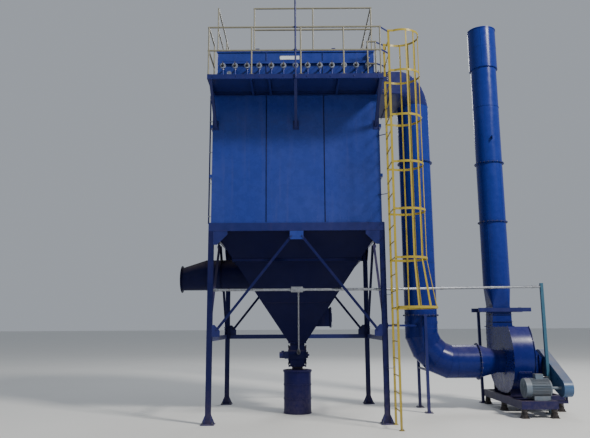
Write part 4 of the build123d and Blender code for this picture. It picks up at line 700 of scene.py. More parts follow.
FINISHED_NODES = {
    "housing": "air_header filter_housing housing_ribs plenum pulse_valves timer_box tube_sheet",
    "hopper": "access_door door_neck hopper inlet_duct rotary_valve",
    "column": "braces columns fan_skid",
    "duct": "bearing_pedestal fan_casing fan_inlet_duct lower_elbow riser stack_head stack_neck stack_tube",
    "rail": (
        "deck_rail_front deck_rail_left deck_rail_right"
        " roof_rail_front roof_rail_left roof_rail_rear roof_rail_right"
    ),
    "safety": "cage_hoops cage_straps ladder",
    "drum": "drum_lid dust_drum spout",
    "guard": "belt_guard",
    "motor": "fan_motor",
    "zinc": "conduit",
    "post": "conduit_post",
    "isolator": "isolators",
    "plate": "nameplate",
}


class BAGFILTER_OT_finishes(bpy.types.Operator):
    """Give every node its finish"""

    bl_idname = "bag_filter.finishes"
    bl_label = "Finishes"

    def execute(self, context):
        weathering_group()
        metal_grain_group()
        MATERIALS.update(make_materials())
        finishes = {name: finish for finish, names in FINISHED_NODES.items() for name in names.split()}
        for name, plant_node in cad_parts.items():
            materials = plant_node.data.materials
            materials.clear()
            materials.append(MATERIALS[finishes.get(name, "frame")])
        return {"FINISHED"}


# Tower

COLUMN_X = 1.655
COLUMN_Y = 1.535
COLUMN_HALF = 0.05
BASE_TOP = 0.016
ANCHOR_REACH = 0.09
BEAM_BOTTOM = 3.6
BEAM_TOP = 3.755
GIRT_TOP = 1.59
PLATE_SKIN = 0.001
PLATE_THICKNESS = 0.008
BRACE_THICKNESS = 0.006
# Places along a brace of its bolts, from its foot and from its head
BRACE_BOLTS = ((0.024, 0.072), (-0.02, -0.062))
HEAD_PLATE_DROP = 0.27
FOOT_PLATE_RISE = 0.22
APEX_HALF = 0.135
APEX_PAD_HALF = 0.13


def tower_sides():
    """Outward direction, level direction, distance of the plates and inner half span of each side"""
    deep_y = COLUMN_Y + COLUMN_HALF - PLATE_SKIN
    deep_x = COLUMN_X + COLUMN_HALF - PLATE_SKIN
    span_x = COLUMN_X - COLUMN_HALF
    span_y = COLUMN_Y - COLUMN_HALF
    return (
        (FRONT, RIGHT, deep_y, span_x),
        (BACK, RIGHT, deep_y, span_x),
        (LEFT, BACK, deep_x, span_y),
        (RIGHT, BACK, deep_x, span_y),
    )


class BAGFILTER_OT_anchors(bpy.types.Operator):
    """Put a nut, a washer and a stud end on every anchor"""

    bl_idname = "bag_filter.anchors"
    bl_label = "Anchor nuts"

    def execute(self, context):
        nuts = Piece("anchor_nuts", "bolt")
        posts = [(DUCT_X, y) for y in DUCT_FOOT_Y] + [CONDUIT_POST, *STACK_POSTS]
        for places, reach, top, thread, stud in (
            (corners(COLUMN_X, COLUMN_Y), ANCHOR_REACH, BASE_TOP, ANCHOR_THREAD, 0.032),
            (posts, DUCT_FOOT_REACH, DUCT_FOOT_TOP, DUCT_THREAD, 0.022),
            (ISOLATOR_PLACES, ISOLATOR_REACH, ISOLATOR_PLATE_TOP, PLATE_THREAD, 0.016),
        ):
            for x, y in places:
                for dx, dy in corners(reach, reach):
                    nuts.bolt((x + dx, y + dy, top), UP, thread, stud)
        return finish_pieces()


class BAGFILTER_OT_tower(bpy.types.Operator):
    """Bolt the braces to their plates and weld the frame together"""

    bl_idname = "bag_filter.tower"
    bl_label = "Tower bolts and welds"

    def execute(self, context):
        pads = Piece("apex_pads", "housing", smooth=False)
        bolts = Piece("brace_bolts", "frame")
        beads = Piece("frame_welds", "frame")
        for outward, level, deep, span in tower_sides():
            outer = outward * deep
            inner = outward * (deep - PLATE_THICKNESS - BRACE_THICKNESS)
            foot = Vector((span - 0.075, GIRT_TOP + 0.11))
            head = Vector((0.09, BEAM_BOTTOM - 0.09))
            slope = (head - foot).normalized()
            apex = outer + UP * BEAM_BOTTOM
            for side in SIDES:
                for end, places in zip((foot, head), BRACE_BOLTS):
                    for reach in places:
                        at = end + slope * reach
                        place = level * side * at.x + UP * at.y
                        bolts.bolt(place + outer, outward, FRAME_THREAD)
                        bolts.bolt(place + inner, -outward, FRAME_THREAD, 0.008)
                # Plates to the column and to the beam
                edge = level * side * span + outer
                beads.bead(edge + UP * (BEAM_BOTTOM - HEAD_PLATE_DROP), edge + UP * BEAM_BOTTOM)
                beads.bead(edge + UP * GIRT_TOP, edge + UP * (GIRT_TOP + FOOT_PLATE_RISE))
                beads.bead(edge + UP * BEAM_BOTTOM, apex + level * side * (span - HEAD_PLATE_DROP))
            beads.bead(apex - level * APEX_HALF, apex + level * APEX_HALF)
        # Columns on their base plates, and the ring beam to the columns
        for sx, sy in CORNERS:
            x, y = sx * COLUMN_X, sy * COLUMN_Y
            end = x - sx * COLUMN_HALF
            face = sy * (COLUMN_Y + COLUMN_HALF - 0.004)
            for side in SIDES:
                flange = y + side * COLUMN_HALF
                web = x + side * 0.0035
                beads.bead((x - COLUMN_HALF, flange, BASE_TOP), (x + COLUMN_HALF, flange, BASE_TOP))
                beads.bead((web, y - 0.04, BASE_TOP), (web, y + 0.04, BASE_TOP))
                beads.bead((end, face, BEAM_BOTTOM), (end, face, BEAM_TOP))
        # Bolted pads over the plates where the braces meet
        for outward, level, deep, span in tower_sides()[:2]:
            middle = outward * (deep + PLATE_SKIN / 2) + UP * (BEAM_BOTTOM - 0.088)
            reach = level * APEX_PAD_HALF
            pads.bar(middle - reach, middle + reach, PLATE_SKIN, 0.164)
        return finish_pieces()


# Hopper, valve and drum

HOPPER_OUTLET_Z = 1.45
HOPPER_OUTLET_HALF = 0.177
HOPPER_KNEE_Z = 3.67
HOPPER_TOP_X = 1.64
HOPPER_TOP_Y = 1.52
HOPPER_SEAM_Z = 2.25
HOPPER_RIB = (3.05, 3.1)
DOOR_FACE_X = 0.72
DOOR_CENTRE_Z = 1.96
DOOR_CLAMP_REACH = 0.177
DOOR_CLAMPS = (-0.15, 0.0, 0.15)
DOOR_HINGE_REACH = 0.12
VALVE_Z = 1.18
# Height of each flange's face and the way that its bolt heads look
VALVE_FLANGES = ((1.428, DOWN), (1.45, UP), (0.962, UP), (0.95, DOWN))
VALVE_BOLT_REACH = 0.172
VALVE_COVER_FACE = 0.188
VALVE_COVER_CIRCLE = 0.191
VALVE_BOSS_FACE = 0.224
VALVE_GEARBOX_FACE = -0.268
VALVE_MOTOR_END = -0.378
VALVE_MOTOR_RADIUS = 0.06
VALVE_RIB_COUNT = 20
SLEEVE_RINGS = (0.898, 0.93)
CLAMP_Z = 0.854
CLAMP_Y = -0.318
LID_TOP = 0.88
LID_RADIUS = 0.3


def hopper_half(z):
    """Half widths of the hopper at a height"""
    part = (z - HOPPER_OUTLET_Z) / (HOPPER_KNEE_Z - HOPPER_OUTLET_Z)
    return [HOPPER_OUTLET_HALF + part * (top - HOPPER_OUTLET_HALF) for top in (HOPPER_TOP_X, HOPPER_TOP_Y)]


class BAGFILTER_OT_hopper(bpy.types.Operator):
    """Weld the hopper's corners, seams and rib, and fit its door"""

    bl_idname = "bag_filter.hopper"
    bl_label = "Hopper seams and door fittings"

    def execute(self, context):
        beads = Piece("hopper_welds", "hopper")
        half, low = HOPPER_OUTLET_HALF, HOPPER_OUTLET_Z
        for sx, sy in CORNERS:
            beads.bead((sx * half, sy * half, low), (sx * HOPPER_TOP_X, sy * HOPPER_TOP_Y, HOPPER_KNEE_Z))
        # Cross seam between the strakes, and both edges of the rib
        for z in (HOPPER_SEAM_Z, *HOPPER_RIB):
            x, y = hopper_half(z)
            for edge in (-y, y):
                beads.bead((-x, edge, z), (x, edge, z))
            beads.bead((x, -y, z), (x, y, z))
            if z == HOPPER_SEAM_Z:
                beads.bead((-x, -y, z), (-x, y, z))
        for edge in (-half, half):
            beads.bead((-half, edge, low), (half, edge, low))
            beads.bead((edge, -half, low), (edge, half, low))
        # Clamps and hinges of the access door
        fittings = Piece("door_fittings", "bolt")
        for side in SIDES:
            for y in DOOR_CLAMPS:
                seat = (DOOR_FACE_X, y, DOOR_CENTRE_Z + side * DOOR_CLAMP_REACH)
                fittings.bolt(seat, RIGHT, DUCT_THREAD, 0.02)
            z = DOOR_CENTRE_Z + side * DOOR_HINGE_REACH
            leaf = DOOR_FACE_X + 0.006
            fittings.block((DOOR_FACE_X, -0.215, z - 0.02), (leaf, -0.09, z + 0.02))
            fittings.rod((DOOR_FACE_X - 0.006, -0.218, z - 0.035), UP, 0.011, 0.07, 16)
            for y in (-0.11, -0.15):
                fittings.bolt((leaf, y, z), RIGHT, SMALL_THREAD)
        return finish_pieces()


class BAGFILTER_OT_valve(bpy.types.Operator):
    """Bolt up the rotary valve and its drive, and clamp the drum's lid"""

    bl_idname = "bag_filter.valve"
    bl_label = "Valve, drive and drum fittings"

    def execute(self, context):
        bolts = Piece("valve_bolts", "frame")
        reach = VALVE_BOLT_REACH
        for seat, direction in VALVE_FLANGES:
            for k in spaced(-reach, reach, 0.115):
                for edge in (-reach, reach):
                    bolts.bolt((k, edge, seat), direction, PLATE_THREAD)
                    if abs(k) < reach - 0.01:
                        bolts.bolt((edge, k, seat), direction, PLATE_THREAD)
        axis = UP * VALVE_Z
        for outward in (LEFT, RIGHT):
            centre = outward * VALVE_COVER_FACE + axis
            bolts.bolt_ring(centre, outward, VALVE_COVER_CIRCLE, 12, PLATE_THREAD)
        boss = RIGHT * VALVE_BOSS_FACE + axis
        bolts.bolt_ring(boss, RIGHT, 0.052, 6, SMALL_THREAD)
        bolts.rod(boss, RIGHT, 0.022, 0.03)
        for dy, dz in corners(0.062, 0.062):
            bolts.bolt((VALVE_GEARBOX_FACE, dy, VALVE_Z + dz), LEFT, SMALL_THREAD)
        # Cooling ribs, fan cover and terminal box of the valve's motor
        drive = Piece("valve_motor_details", "frame", bevel=0.0012)
        for k in range(VALVE_RIB_COUNT):
            out = round_x(2 * math.pi * (k + 0.5) / VALVE_RIB_COUNT, BACK)
            foot = axis + RIGHT * (VALVE_GEARBOX_FACE - 0.008) + out * (VALVE_MOTOR_RADIUS - 0.006)
            drive.bar(foot, foot + LEFT * 0.068, 0.003, 0.024, out)
        inner, outer = VALVE_MOTOR_RADIUS - 0.002, VALVE_MOTOR_RADIUS + 0.006
        drive.band(axis + RIGHT * (VALVE_MOTOR_END + 0.016), LEFT, inner, outer, 0.03, 32)
        for radius in (0.012, 0.028, 0.044):
            drive.band(axis + RIGHT * VALVE_MOTOR_END, LEFT, radius, radius + 0.004, 0.003, 24)
        drive.block(
            (VALVE_MOTOR_END + 0.04, -0.03, VALVE_Z + 0.055),
            (VALVE_GEARBOX_FACE - 0.01, 0.03, VALVE_Z + 0.09),
        )
        # Clamp ring and bung of the drum
        rim = Piece("drum_clamp_ring", "drum")
        rim.ring((0, 0, CLAMP_Z), UP, LID_RADIUS - 0.006, 0.014, 64, 10)
        for low, high in ((-0.035, -0.012), (0.012, 0.035)):
            rim.block((low, -0.33, CLAMP_Z - 0.012), (high, -0.3, CLAMP_Z + 0.012))
        rim.rod((-0.05, CLAMP_Y, CLAMP_Z), RIGHT, 0.005, 0.1, 10)
        for side in (RIGHT, LEFT):
            rim.bolt(side * 0.035 + Vector((0, CLAMP_Y, CLAMP_Z)), side, SMALL_THREAD)
        drum = Piece("drum_details", "drum")
        drum.band((0, 0, LID_TOP + 0.002), UP, 0.238, 0.262, 0.006, 64)
        drum.bead_ring((0, 0, LID_TOP), UP, 0.111, 0.007, 48)
        drum.rod((0.195, -0.06, LID_TOP), UP, 0.03, 0.01)
        drum.rod((0.195, -0.06, LID_TOP + 0.01), UP, 0.018, 0.008, 6)
        # Flexible sleeve round the spout
        sleeve = Piece("spout_sleeve", "rubber")
        for z in SLEEVE_RINGS:
            sleeve.ring((0, 0, z), UP, 0.113, 0.008)
        return finish_pieces()


# Filter housing and plenum

HOUSING_X = 1.66
HOUSING_Y = 1.545
HOUSING_TOP = 6.39
LIP_TOP = 3.765
LIP_REACH = 0.03
SHEET_TOP = 6.402
SHEET_REACH = 0.025
PLENUM_X = 1.595
PLENUM_Y = 1.5
PLENUM_TOP = 7.335
ROOF_TOP = 7.343
ROOF_REACH = 0.02
PANEL_SEAMS = (-0.59, 0.56)
SIDE_SEAMS = (-0.515, 0.515)
RIB_LEVELS = (4.7, 5.72)
RIB_HALF = 0.0325
LID_CENTRE = (0.79, 0.7)
LID_HALF = (0.62, 0.56)
LID_CURB = 0.04
LID_RISE = 0.014
RIM_WIDTH = 0.006
RIM_DEPTH = 0.002


def wall_runs(half_x, half_y, z):
    """The four level edges of a rectangular shell"""
    around = [(sx * half_x, sy * half_y, z) for sx, sy in ((-1, -1), (1, -1), (1, 1), (-1, 1), (-1, -1))]
    return list(zip(around, around[1:]))


class BAGFILTER_OT_housing(bpy.types.Operator):
    """Seam the housing's panels, weld its ribs and bolt its flanges"""

    bl_idname = "bag_filter.housing"
    bl_label = "Housing seams and flange bolts"

    def execute(self, context):
        edge = settings().edge_radius
        joints = Piece("panel_joints", "hopper")
        strip = 2 * settings().bead_width
        for side in SIDES:
            for x in PANEL_SEAMS:
                y = side * HOUSING_Y
                joints.bead((x, y, LIP_TOP), (x, y, HOUSING_TOP), width=strip)
            for y in SIDE_SEAMS:
                x = side * HOUSING_X
                joints.bead((x, y, LIP_TOP), (x, y, HOUSING_TOP), width=strip)
        beads = Piece("housing_welds", "housing")
        for half_x, half_y, low, high in (
            (HOUSING_X, HOUSING_Y, LIP_TOP, HOUSING_TOP),
            (PLENUM_X, PLENUM_Y, SHEET_TOP, PLENUM_TOP),
        ):
            for x, y in corners(half_x, half_y):
                beads.bead((x, y, low), (x, y, high))
            for run in wall_runs(half_x, half_y, low):
                beads.bead(*run)
        for level in RIB_LEVELS:
            for z in (level - RIB_HALF, level + RIB_HALF):
                for run in wall_runs(HOUSING_X, HOUSING_Y, z)[1:]:
                    beads.bead(*run)
        # Bolts along the foot lip and the tube sheet
        bolts = Piece("housing_flange_bolts", "frame")
        for reach, z, thread, pitch in (
            (LIP_REACH / 2, LIP_TOP, PLATE_THREAD, 0.2),
            (SHEET_REACH / 2, SHEET_TOP, SMALL_THREAD, 0.15),
        ):
            for side in SIDES:
                for x in spaced(-HOUSING_X + 0.08, HOUSING_X - 0.08, pitch):
                    bolts.bolt((x, side * (HOUSING_Y + reach), z), UP, thread)
                for y in spaced(-HOUSING_Y + 0.08, HOUSING_Y - 0.08, pitch):
                    bolts.bolt((side * (HOUSING_X + reach), y, z), UP, thread)
        # Stiffeners of the plenum, and drip edge of its roof
        plenum = Piece("plenum_details", "housing", bevel=edge)
        for x in PANEL_SEAMS:
            for y in (-PLENUM_Y - 0.02, PLENUM_Y):
                plenum.block((x - 0.004, y, SHEET_TOP), (x + 0.004, y + 0.02, PLENUM_TOP))
        drip_x, drip_y = PLENUM_X + ROOF_REACH, PLENUM_Y + ROOF_REACH
        for y in (-drip_y, drip_y - 0.005):
            plenum.block((-drip_x, y, 7.305), (drip_x, y + 0.005, PLENUM_TOP))
        # Bolted lids in the roof over the bags
        lids = Piece("roof_lids", "frame", bevel=0.0015)
        screws = Piece("roof_lid_bolts", "bolt")
        half_x, half_y = LID_HALF
        top = ROOF_TOP + LID_RISE
        for x, y in corners(*LID_CENTRE):
            for grow, rise in ((0.0, LID_RISE), (LID_CURB, 0.005)):
                dx, dy = half_x + grow, half_y + grow
                lids.block((x - dx, y - dy, ROOF_TOP), (x + dx, y + dy, ROOF_TOP + rise))
            for grip in (x - 0.3, x + 0.3):
                run = ((y - 0.09, top), (y - 0.09, top + 0.05), (y + 0.09, top + 0.05), (y + 0.09, top))
                lids.pipe([(grip, *p) for p in run], 0.007)
            for dx in spaced(0.05 - half_x, half_x - 0.05, 0.3):
                for dy in (0.04 - half_y, half_y - 0.04):
                    screws.bolt((x + dx, y + dy, top), UP, PLATE_THREAD)
        return finish_pieces()


class BAGFILTER_OT_nameplate(bpy.types.Operator):
    """Rivet the blank plate on the front of the plenum"""

    bl_idname = "bag_filter.nameplate"
    bl_label = "Plate rivets"

    def execute(self, context):
        low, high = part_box("nameplate")
        rivets = Piece("plate_rivets", "zinc")
        for x in (low.x + 0.014, (low.x + high.x) / 2, high.x - 0.014):
            for z in (low.z + 0.014, high.z - 0.014):
                rivets.dome((x, low.y, z), FRONT, 0.006, 0.003, 12, 3)
        rim = Piece("plate_rim", "zinc")
        face = low.y - RIM_DEPTH
        for z in (low.z, high.z - RIM_WIDTH):
            rim.block((low.x, face, z), (high.x, low.y, z + RIM_WIDTH))
        for x in (low.x, high.x - RIM_WIDTH):
            rim.block((x, face, low.z), (x + RIM_WIDTH, low.y, high.z))
        return finish_pieces()


# Pulse cleaning gear

HEADER_Y = -1.68
HEADER_Z = 6.64
HEADER_RADIUS = 0.085
HEADER_HALF = 1.5
SADDLES = (-1.25, -0.42, 0.42, 1.25)
PULSE_Z = 6.93
PULSE_COUNT = 13
PULSE_PITCH = 0.243
PULSE_FACE_Y = HEADER_Y - 0.0375
COVER_RADIUS = 0.057
COVER_THICKNESS = 0.012
SADDLE_FACE_Y = -1.548
TRAY_LOW = Vector((-1.5, -1.548, 7.05))
TRAY_HIGH = Vector((1.5, -1.5, 7.1))
TIMER_BOX = ((1.475, -1.58, 7.01), (1.585, -1.5, 7.26))


class BAGFILTER_OT_pulse_gear(bpy.types.Operator):
    """Dress the pulse valves, the air header and the timer box"""

    bl_idname = "bag_filter.pulse_gear"
    bl_label = "Pulse valve and header fittings"

    def execute(self, context):
        covers = Piece("pulse_valve_covers", "valve")
        nuts = Piece("pulse_valve_nuts", "housing")
        screws = Piece("pulse_valve_screws", "bolt")
        coils = Piece("pulse_valve_coils", "rubber", bevel=0.0012)
        wires = Piece("pulse_valve_wires", "rubber")
        for k in range(PULSE_COUNT):
            x = PULSE_PITCH * (k - (PULSE_COUNT - 1) / 2)
            face = Vector((x, PULSE_FACE_Y, PULSE_Z))
            # Bolted cover and the flange behind it
            covers.rod(face, FRONT, COVER_RADIUS, COVER_THICKNESS, 32)
            covers.rod(face + BACK * COVER_THICKNESS, BACK, COVER_RADIUS, COVER_THICKNESS, 32)
            lid = face + FRONT * COVER_THICKNESS
            for turn in range(6):
                out = round_x(math.pi / 6 + turn * math.pi / 3)
                screws.bolt(lid + out * 0.048, FRONT, SCREW_THREAD, washer=False)
            # Diaphragm cap, coil and plug
            tip = lid + FRONT * 0.012
            coils.rod(lid, FRONT, 0.032, 0.012, 28, top=0.027)
            coils.rod(tip, FRONT, 0.011, 0.036, 14)
            coils.block(tip + Vector((-0.016, -0.034, -0.016)), tip + Vector((0.016, -0.006, 0.02)))
            coils.block(tip + Vector((-0.012, -0.032, 0.02)), tip + Vector((0.012, -0.008, 0.034)))
            # Wire from the plug up to the tray
            start = tip + Vector((0, -0.02, 0.034))
            wires.pipe((start, start + UP * 0.04, (x, -1.585, 7.055), (x, -1.535, 7.075)), 0.004, 6)
            # Union nuts on both pipes, and seals where they enter the header and the plenum
            nuts.rod((x, HEADER_Y, PULSE_Z - 0.078), UP, 0.026, 0.026, 6)
            nuts.rod((x, HEADER_Y + 0.072, PULSE_Z), BACK, 0.026, 0.026, 6)
            nuts.bead_ring((x, HEADER_Y, HEADER_Z + HEADER_RADIUS - 0.001), UP, 0.019, 0.006, 16)
            nuts.band((x, -PLENUM_Y - 0.004, PULSE_Z), FRONT, 0.018, 0.036, 0.008, 24)
        # Cable tray on the plenum above the valves
        tray = Piece("cable_tray", "housing")
        low, high = TRAY_LOW, TRAY_HIGH
        tray.block(low, (high.x, low.y + 0.004, high.z))
        for z in (low.z, high.z - 0.003):
            tray.block((low.x, low.y, z), (high.x, high.y, z + 0.003))
        # Header straps, end cap seams and domed ends
        straps = Piece("header_straps", "housing")
        axis = Vector((0, HEADER_Y, HEADER_Z))
        for x in SADDLES:
            for dx in (-0.018, 0.018):
                straps.ring(axis + RIGHT * (x + dx), RIGHT, HEADER_RADIUS + 0.006, 0.006, 40)
        for side in (LEFT, RIGHT):
            straps.bead_ring(axis + side * (HEADER_HALF - 0.035), RIGHT, HEADER_RADIUS, 0.008)
            straps.dome(axis + side * HEADER_HALF, side, HEADER_RADIUS - 0.001, 0.028, 32)
        # Gauge, relief valve and drain
        gauge = Piece("header_fittings", "valve")
        stem = axis + Vector((-1.334, 0, HEADER_RADIUS - 0.004))
        case = stem + UP * 0.06
        gauge.rod(stem, UP, 0.009, 0.06, 12)
        gauge.rod(case + BACK * 0.018, FRONT, 0.042, 0.036, 32)
        gauge.ring(case + FRONT * 0.018, FRONT, 0.04, 0.004, 32)
        relief = axis + Vector((1.336, 0, HEADER_RADIUS - 0.004))
        gauge.rod(relief, UP, 0.017, 0.028, 6)
        gauge.rod(relief + UP * 0.028, UP, 0.013, 0.042, 16)
        gauge.ring(relief + UP * 0.078, FRONT, 0.014, 0.002, 20, 6)
        drain = axis + Vector((1.1, 0, 0.004 - HEADER_RADIUS))
        gauge.rod(drain, DOWN, 0.01, 0.045, 12)
        gauge.rod(drain + DOWN * 0.045, DOWN, 0.017, 0.03, 6)
        gauge.block(drain + Vector((-0.005, -0.055, -0.062)), drain + Vector((0.005, 0, -0.056)))
        dial = Piece("gauge_dial", "zinc")
        dial.rod(case + FRONT * 0.018, FRONT, 0.037, 0.001, 32)
        # Door, hinges, lock and glands of the timer box
        low, high = Vector(TIMER_BOX[0]), Vector(TIMER_BOX[1])
        door = Piece("timer_box_door", "housing", bevel=0.003)
        door.block((low.x - 0.004, low.y - 0.014, low.z - 0.004), (high.x + 0.004, low.y, high.z + 0.004))
        door.block((low.x - 0.012, low.y - 0.02, high.z), (high.x + 0.012, high.y, high.z + 0.006))
        trim = Piece("timer_box_trim", "zinc")
        for z in (low.z + 0.027, high.z - 0.063):
            trim.rod((high.x + 0.006, low.y - 0.006, z), UP, 0.006, 0.036, 12)
        trim.rod((low.x + 0.018, low.y - 0.014, (low.z + high.z) / 2), FRONT, 0.011, 0.008, 20)
        for dx in (0.03, 0.075):
            gland = low + Vector((dx, 0.04, 0))
            trim.rod(gland, DOWN, 0.012, 0.022, 6)
            trim.rod(gland + DOWN * 0.022, DOWN, 0.008, 0.012, 12)
        bolts = Piece("saddle_bolts", "housing")
        for x in SADDLES:
            for dz in (-0.112, 0.112):
                bolts.bolt((x, SADDLE_FACE_Y, HEADER_Z + dz), FRONT, SMALL_THREAD)
        return finish_pieces()


# Service deck, handrails and ladder

DECK_LEFT = -1.66
DECK_RIGHT = 1.64
DECK_FRONT = -2.445
DECK_REAR = -1.57
DECK_TOP = 6.44
DECK_BOTTOM = 6.35
TREAD_PITCH = 0.075
TREAD_EDGE = 0.06
RAIL_Y = -2.425
RAIL_POSTS = (-1.64, -0.83, 0.1, 0.91, 1.605)
RAIL_TOP = 7.39
RAIL_FOOT_HALF = 0.04
ROOF_POSTS_FRONT = (-0.846, 0.363, 1.565)
ROOF_POSTS_REAR = (-1.59, -0.846, 0.363, 1.565)
ROOF_RAIL_FRONT = -1.48
ROOF_RAIL_REAR = 1.47
BRACKETS = (-1.6, 0.0, 1.6)
MAST_CLAMPS = (6.395, 6.92, RAIL_TOP - 0.017)
LADDER_X = 1.79
LADDER_NEAR = -2.27
LADDER_FAR = -1.67
LADDER_BRACKETS = (1.004, 2.354, 4.304, 5.504)
STILE_HALF = 0.006
RUNG_PITCH = 0.3
LADDER_TOP = 7.4
CAGE_CENTRE = Vector((2.06, -1.97, 0))
CAGE_RADIUS = 0.36
HOOP_LEVELS = (3.015, 3.91, 4.8, 5.71, 6.59, 7.4)
HOOP_HEIGHT = 0.042
FLARE_LEVEL = 2.12
FLARE_REACH = 0.15
STRAP_ANGLES = (-81, -54, -27, 0, 27, 54, 81)
STRAP_THICKNESS = 0.006


class BAGFILTER_OT_deck(bpy.types.Operator):
    """Lay the tread plate and bolt the deck to its brackets"""

    bl_idname = "bag_filter.deck"
    bl_label = "Deck plate and rail feet"

    def execute(self, context):
        # Raised lozenges of the tread plate, in alternating directions
        tread = Piece("deck_tread", "frame", smooth=False)
        rows = int((DECK_REAR - DECK_FRONT - TREAD_EDGE) / TREAD_PITCH)
        columns = int((DECK_RIGHT - DECK_LEFT - TREAD_EDGE) / TREAD_PITCH)
        for row in range(rows):
            for column in range(columns):
                x = DECK_LEFT + TREAD_EDGE + TREAD_PITCH * column
                y = DECK_FRONT + TREAD_EDGE + TREAD_PITCH * row
                turn = 45 if (row + column) % 2 else -45
                tread.lozenge(Vector((x, y, DECK_TOP)), round_z(turn) * 0.018, round_z(turn + 90) * 0.006)
        # Feet of the rail posts and weld collars where the rails meet them
        feet = Piece("rail_feet", "rail", bevel=0.0012)
        bolts = Piece("rail_foot_bolts", "bolt")
        collars = Piece("rail_collars", "rail")
        half, top = RAIL_FOOT_HALF, DECK_TOP + 0.008
        for x in RAIL_POSTS:
            foot = min(max(x, DECK_LEFT + half), DECK_RIGHT - half)
            feet.block((foot - half, RAIL_Y - 0.014, DECK_TOP), (foot + half, RAIL_Y + 0.06, top))
            for dx in (-0.026, 0.026):
                bolts.bolt((foot + dx, RAIL_Y + 0.04, top), UP, PLATE_THREAD, 0.008)
            collars.bead_ring((x, RAIL_Y, top + 0.001), UP, 0.017, 0.008, 24)
            collars.bead_ring((x, RAIL_Y, RAIL_TOP - 0.034), UP, 0.015, 0.007, 24)
        for posts, y in ((ROOF_POSTS_FRONT, ROOF_RAIL_FRONT), (ROOF_POSTS_REAR, ROOF_RAIL_REAR)):
            for x in posts:
                feet.rod((x, y, ROOF_TOP), UP, 0.038, 0.008)
        # Brackets to the wall: flange plates with bolts
        pads = Piece("bracket_pads", "frame", bevel=settings().edge_radius)
        bolts = Piece("bracket_bolts", "frame")
        face = -HOUSING_Y - 0.01
        for x in BRACKETS:
            pads.block((x - 0.06, face, 5.64), (x + 0.06, -HOUSING_Y, 5.83))
            for dx in (-0.046, 0.046):
                for z in (5.665, 5.805):
                    bolts.bolt((x + dx, face, z), FRONT, DUCT_THREAD)
                bolts.bolt((x + dx, DECK_FRONT + 0.06, DECK_BOTTOM), DOWN, PLATE_THREAD)
        for x in spaced(DECK_LEFT + 0.1, DECK_RIGHT - 0.1, 0.45):
            bolts.bolt((x, DECK_FRONT, DECK_BOTTOM + 0.045), FRONT, DUCT_THREAD)
        return finish_pieces()


class BAGFILTER_OT_mast(bpy.types.Operator):
    """Clamp the mast to the deck and its rails"""

    bl_idname = "bag_filter.mast"
    bl_label = "Mast fittings"

    def execute(self, context):
        low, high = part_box("mast")
        clamps = Piece("mast_clamps", "frame")
        for z in MAST_CLAMPS:
            centre = Vector(((low.x + high.x) / 2, (low.y + high.y) / 2, z))
            clamps.band(centre, UP, 0.0165, 0.022, 0.03, 24)
            for side in (LEFT, RIGHT):
                clamps.bolt(centre + side * 0.022, side, SMALL_THREAD)
        return finish_pieces()


class BAGFILTER_OT_ladder(bpy.types.Operator):
    """Rivet the cage, weld the rungs and bolt the ladder's brackets"""

    bl_idname = "bag_filter.ladder"
    bl_label = "Ladder and cage fittings"

    def execute(self, context):
        rivets = Piece("cage_rivets", "safety")
        for level in (*HOOP_LEVELS, FLARE_LEVEL):
            reach = CAGE_RADIUS + (FLARE_REACH if level == FLARE_LEVEL else 0.0)
            middle = CAGE_CENTRE + UP * (level - HOOP_HEIGHT / 2)
            for angle in STRAP_ANGLES:
                out = round_z(angle)
                rivets.dome(middle + out * reach, out, 0.009, 0.006, 12, 3)
                rivets.bolt(middle + out * (reach - 2 * STRAP_THICKNESS), -out, SMALL_THREAD, washer=False)
        # Weld rings where each rung passes the stiles, and grips on the rungs
        welds = Piece("rung_welds", "safety")
        grips = Piece("rung_grips", "safety")
        for k in range(1, math.ceil(LADDER_TOP / RUNG_PITCH)):
            z = RUNG_PITCH * k
            for y, side in ((LADDER_NEAR, BACK), (LADDER_FAR, FRONT)):
                welds.ring(Vector((LADDER_X, y, z)) + side * (STILE_HALF + 0.002), side, 0.0115, 0.004, 16, 6)
            for j in range(5):
                grips.band((LADDER_X, -2.13 + 0.08 * j, z), BACK, 0.0098, 0.0114, 0.022, 14)
        feet = Piece("ladder_feet", "safety", bevel=0.0012)
        bolts = Piece("ladder_bolts", "bolt")
        for z in LADDER_BRACKETS:
            for dx in (-0.011, 0.011):
                bolts.bolt((LADDER_X + dx, LADDER_FAR - STILE_HALF, z + 0.026), FRONT, SMALL_THREAD)
        for y, side in ((LADDER_NEAR, FRONT), (LADDER_FAR, BACK)):
            for z in (6.375, 6.415):
                for face in (FRONT, BACK):
                    bolts.bolt((LADDER_X - 0.05, y + face.y * STILE_HALF, z), face, DUCT_THREAD)
            # Foot of the stile
            low, high = sorted((y, y + side.y * 0.085))
            feet.block((LADDER_X - 0.045, low, 0.0), (LADDER_X + 0.045, high, 0.008))
            for dx in (-0.024, 0.024):
                bolts.bolt((LADDER_X + dx, y + side.y * 0.052, 0.008), UP, DUCT_THREAD, 0.016)
        return finish_pieces()


# Ducts

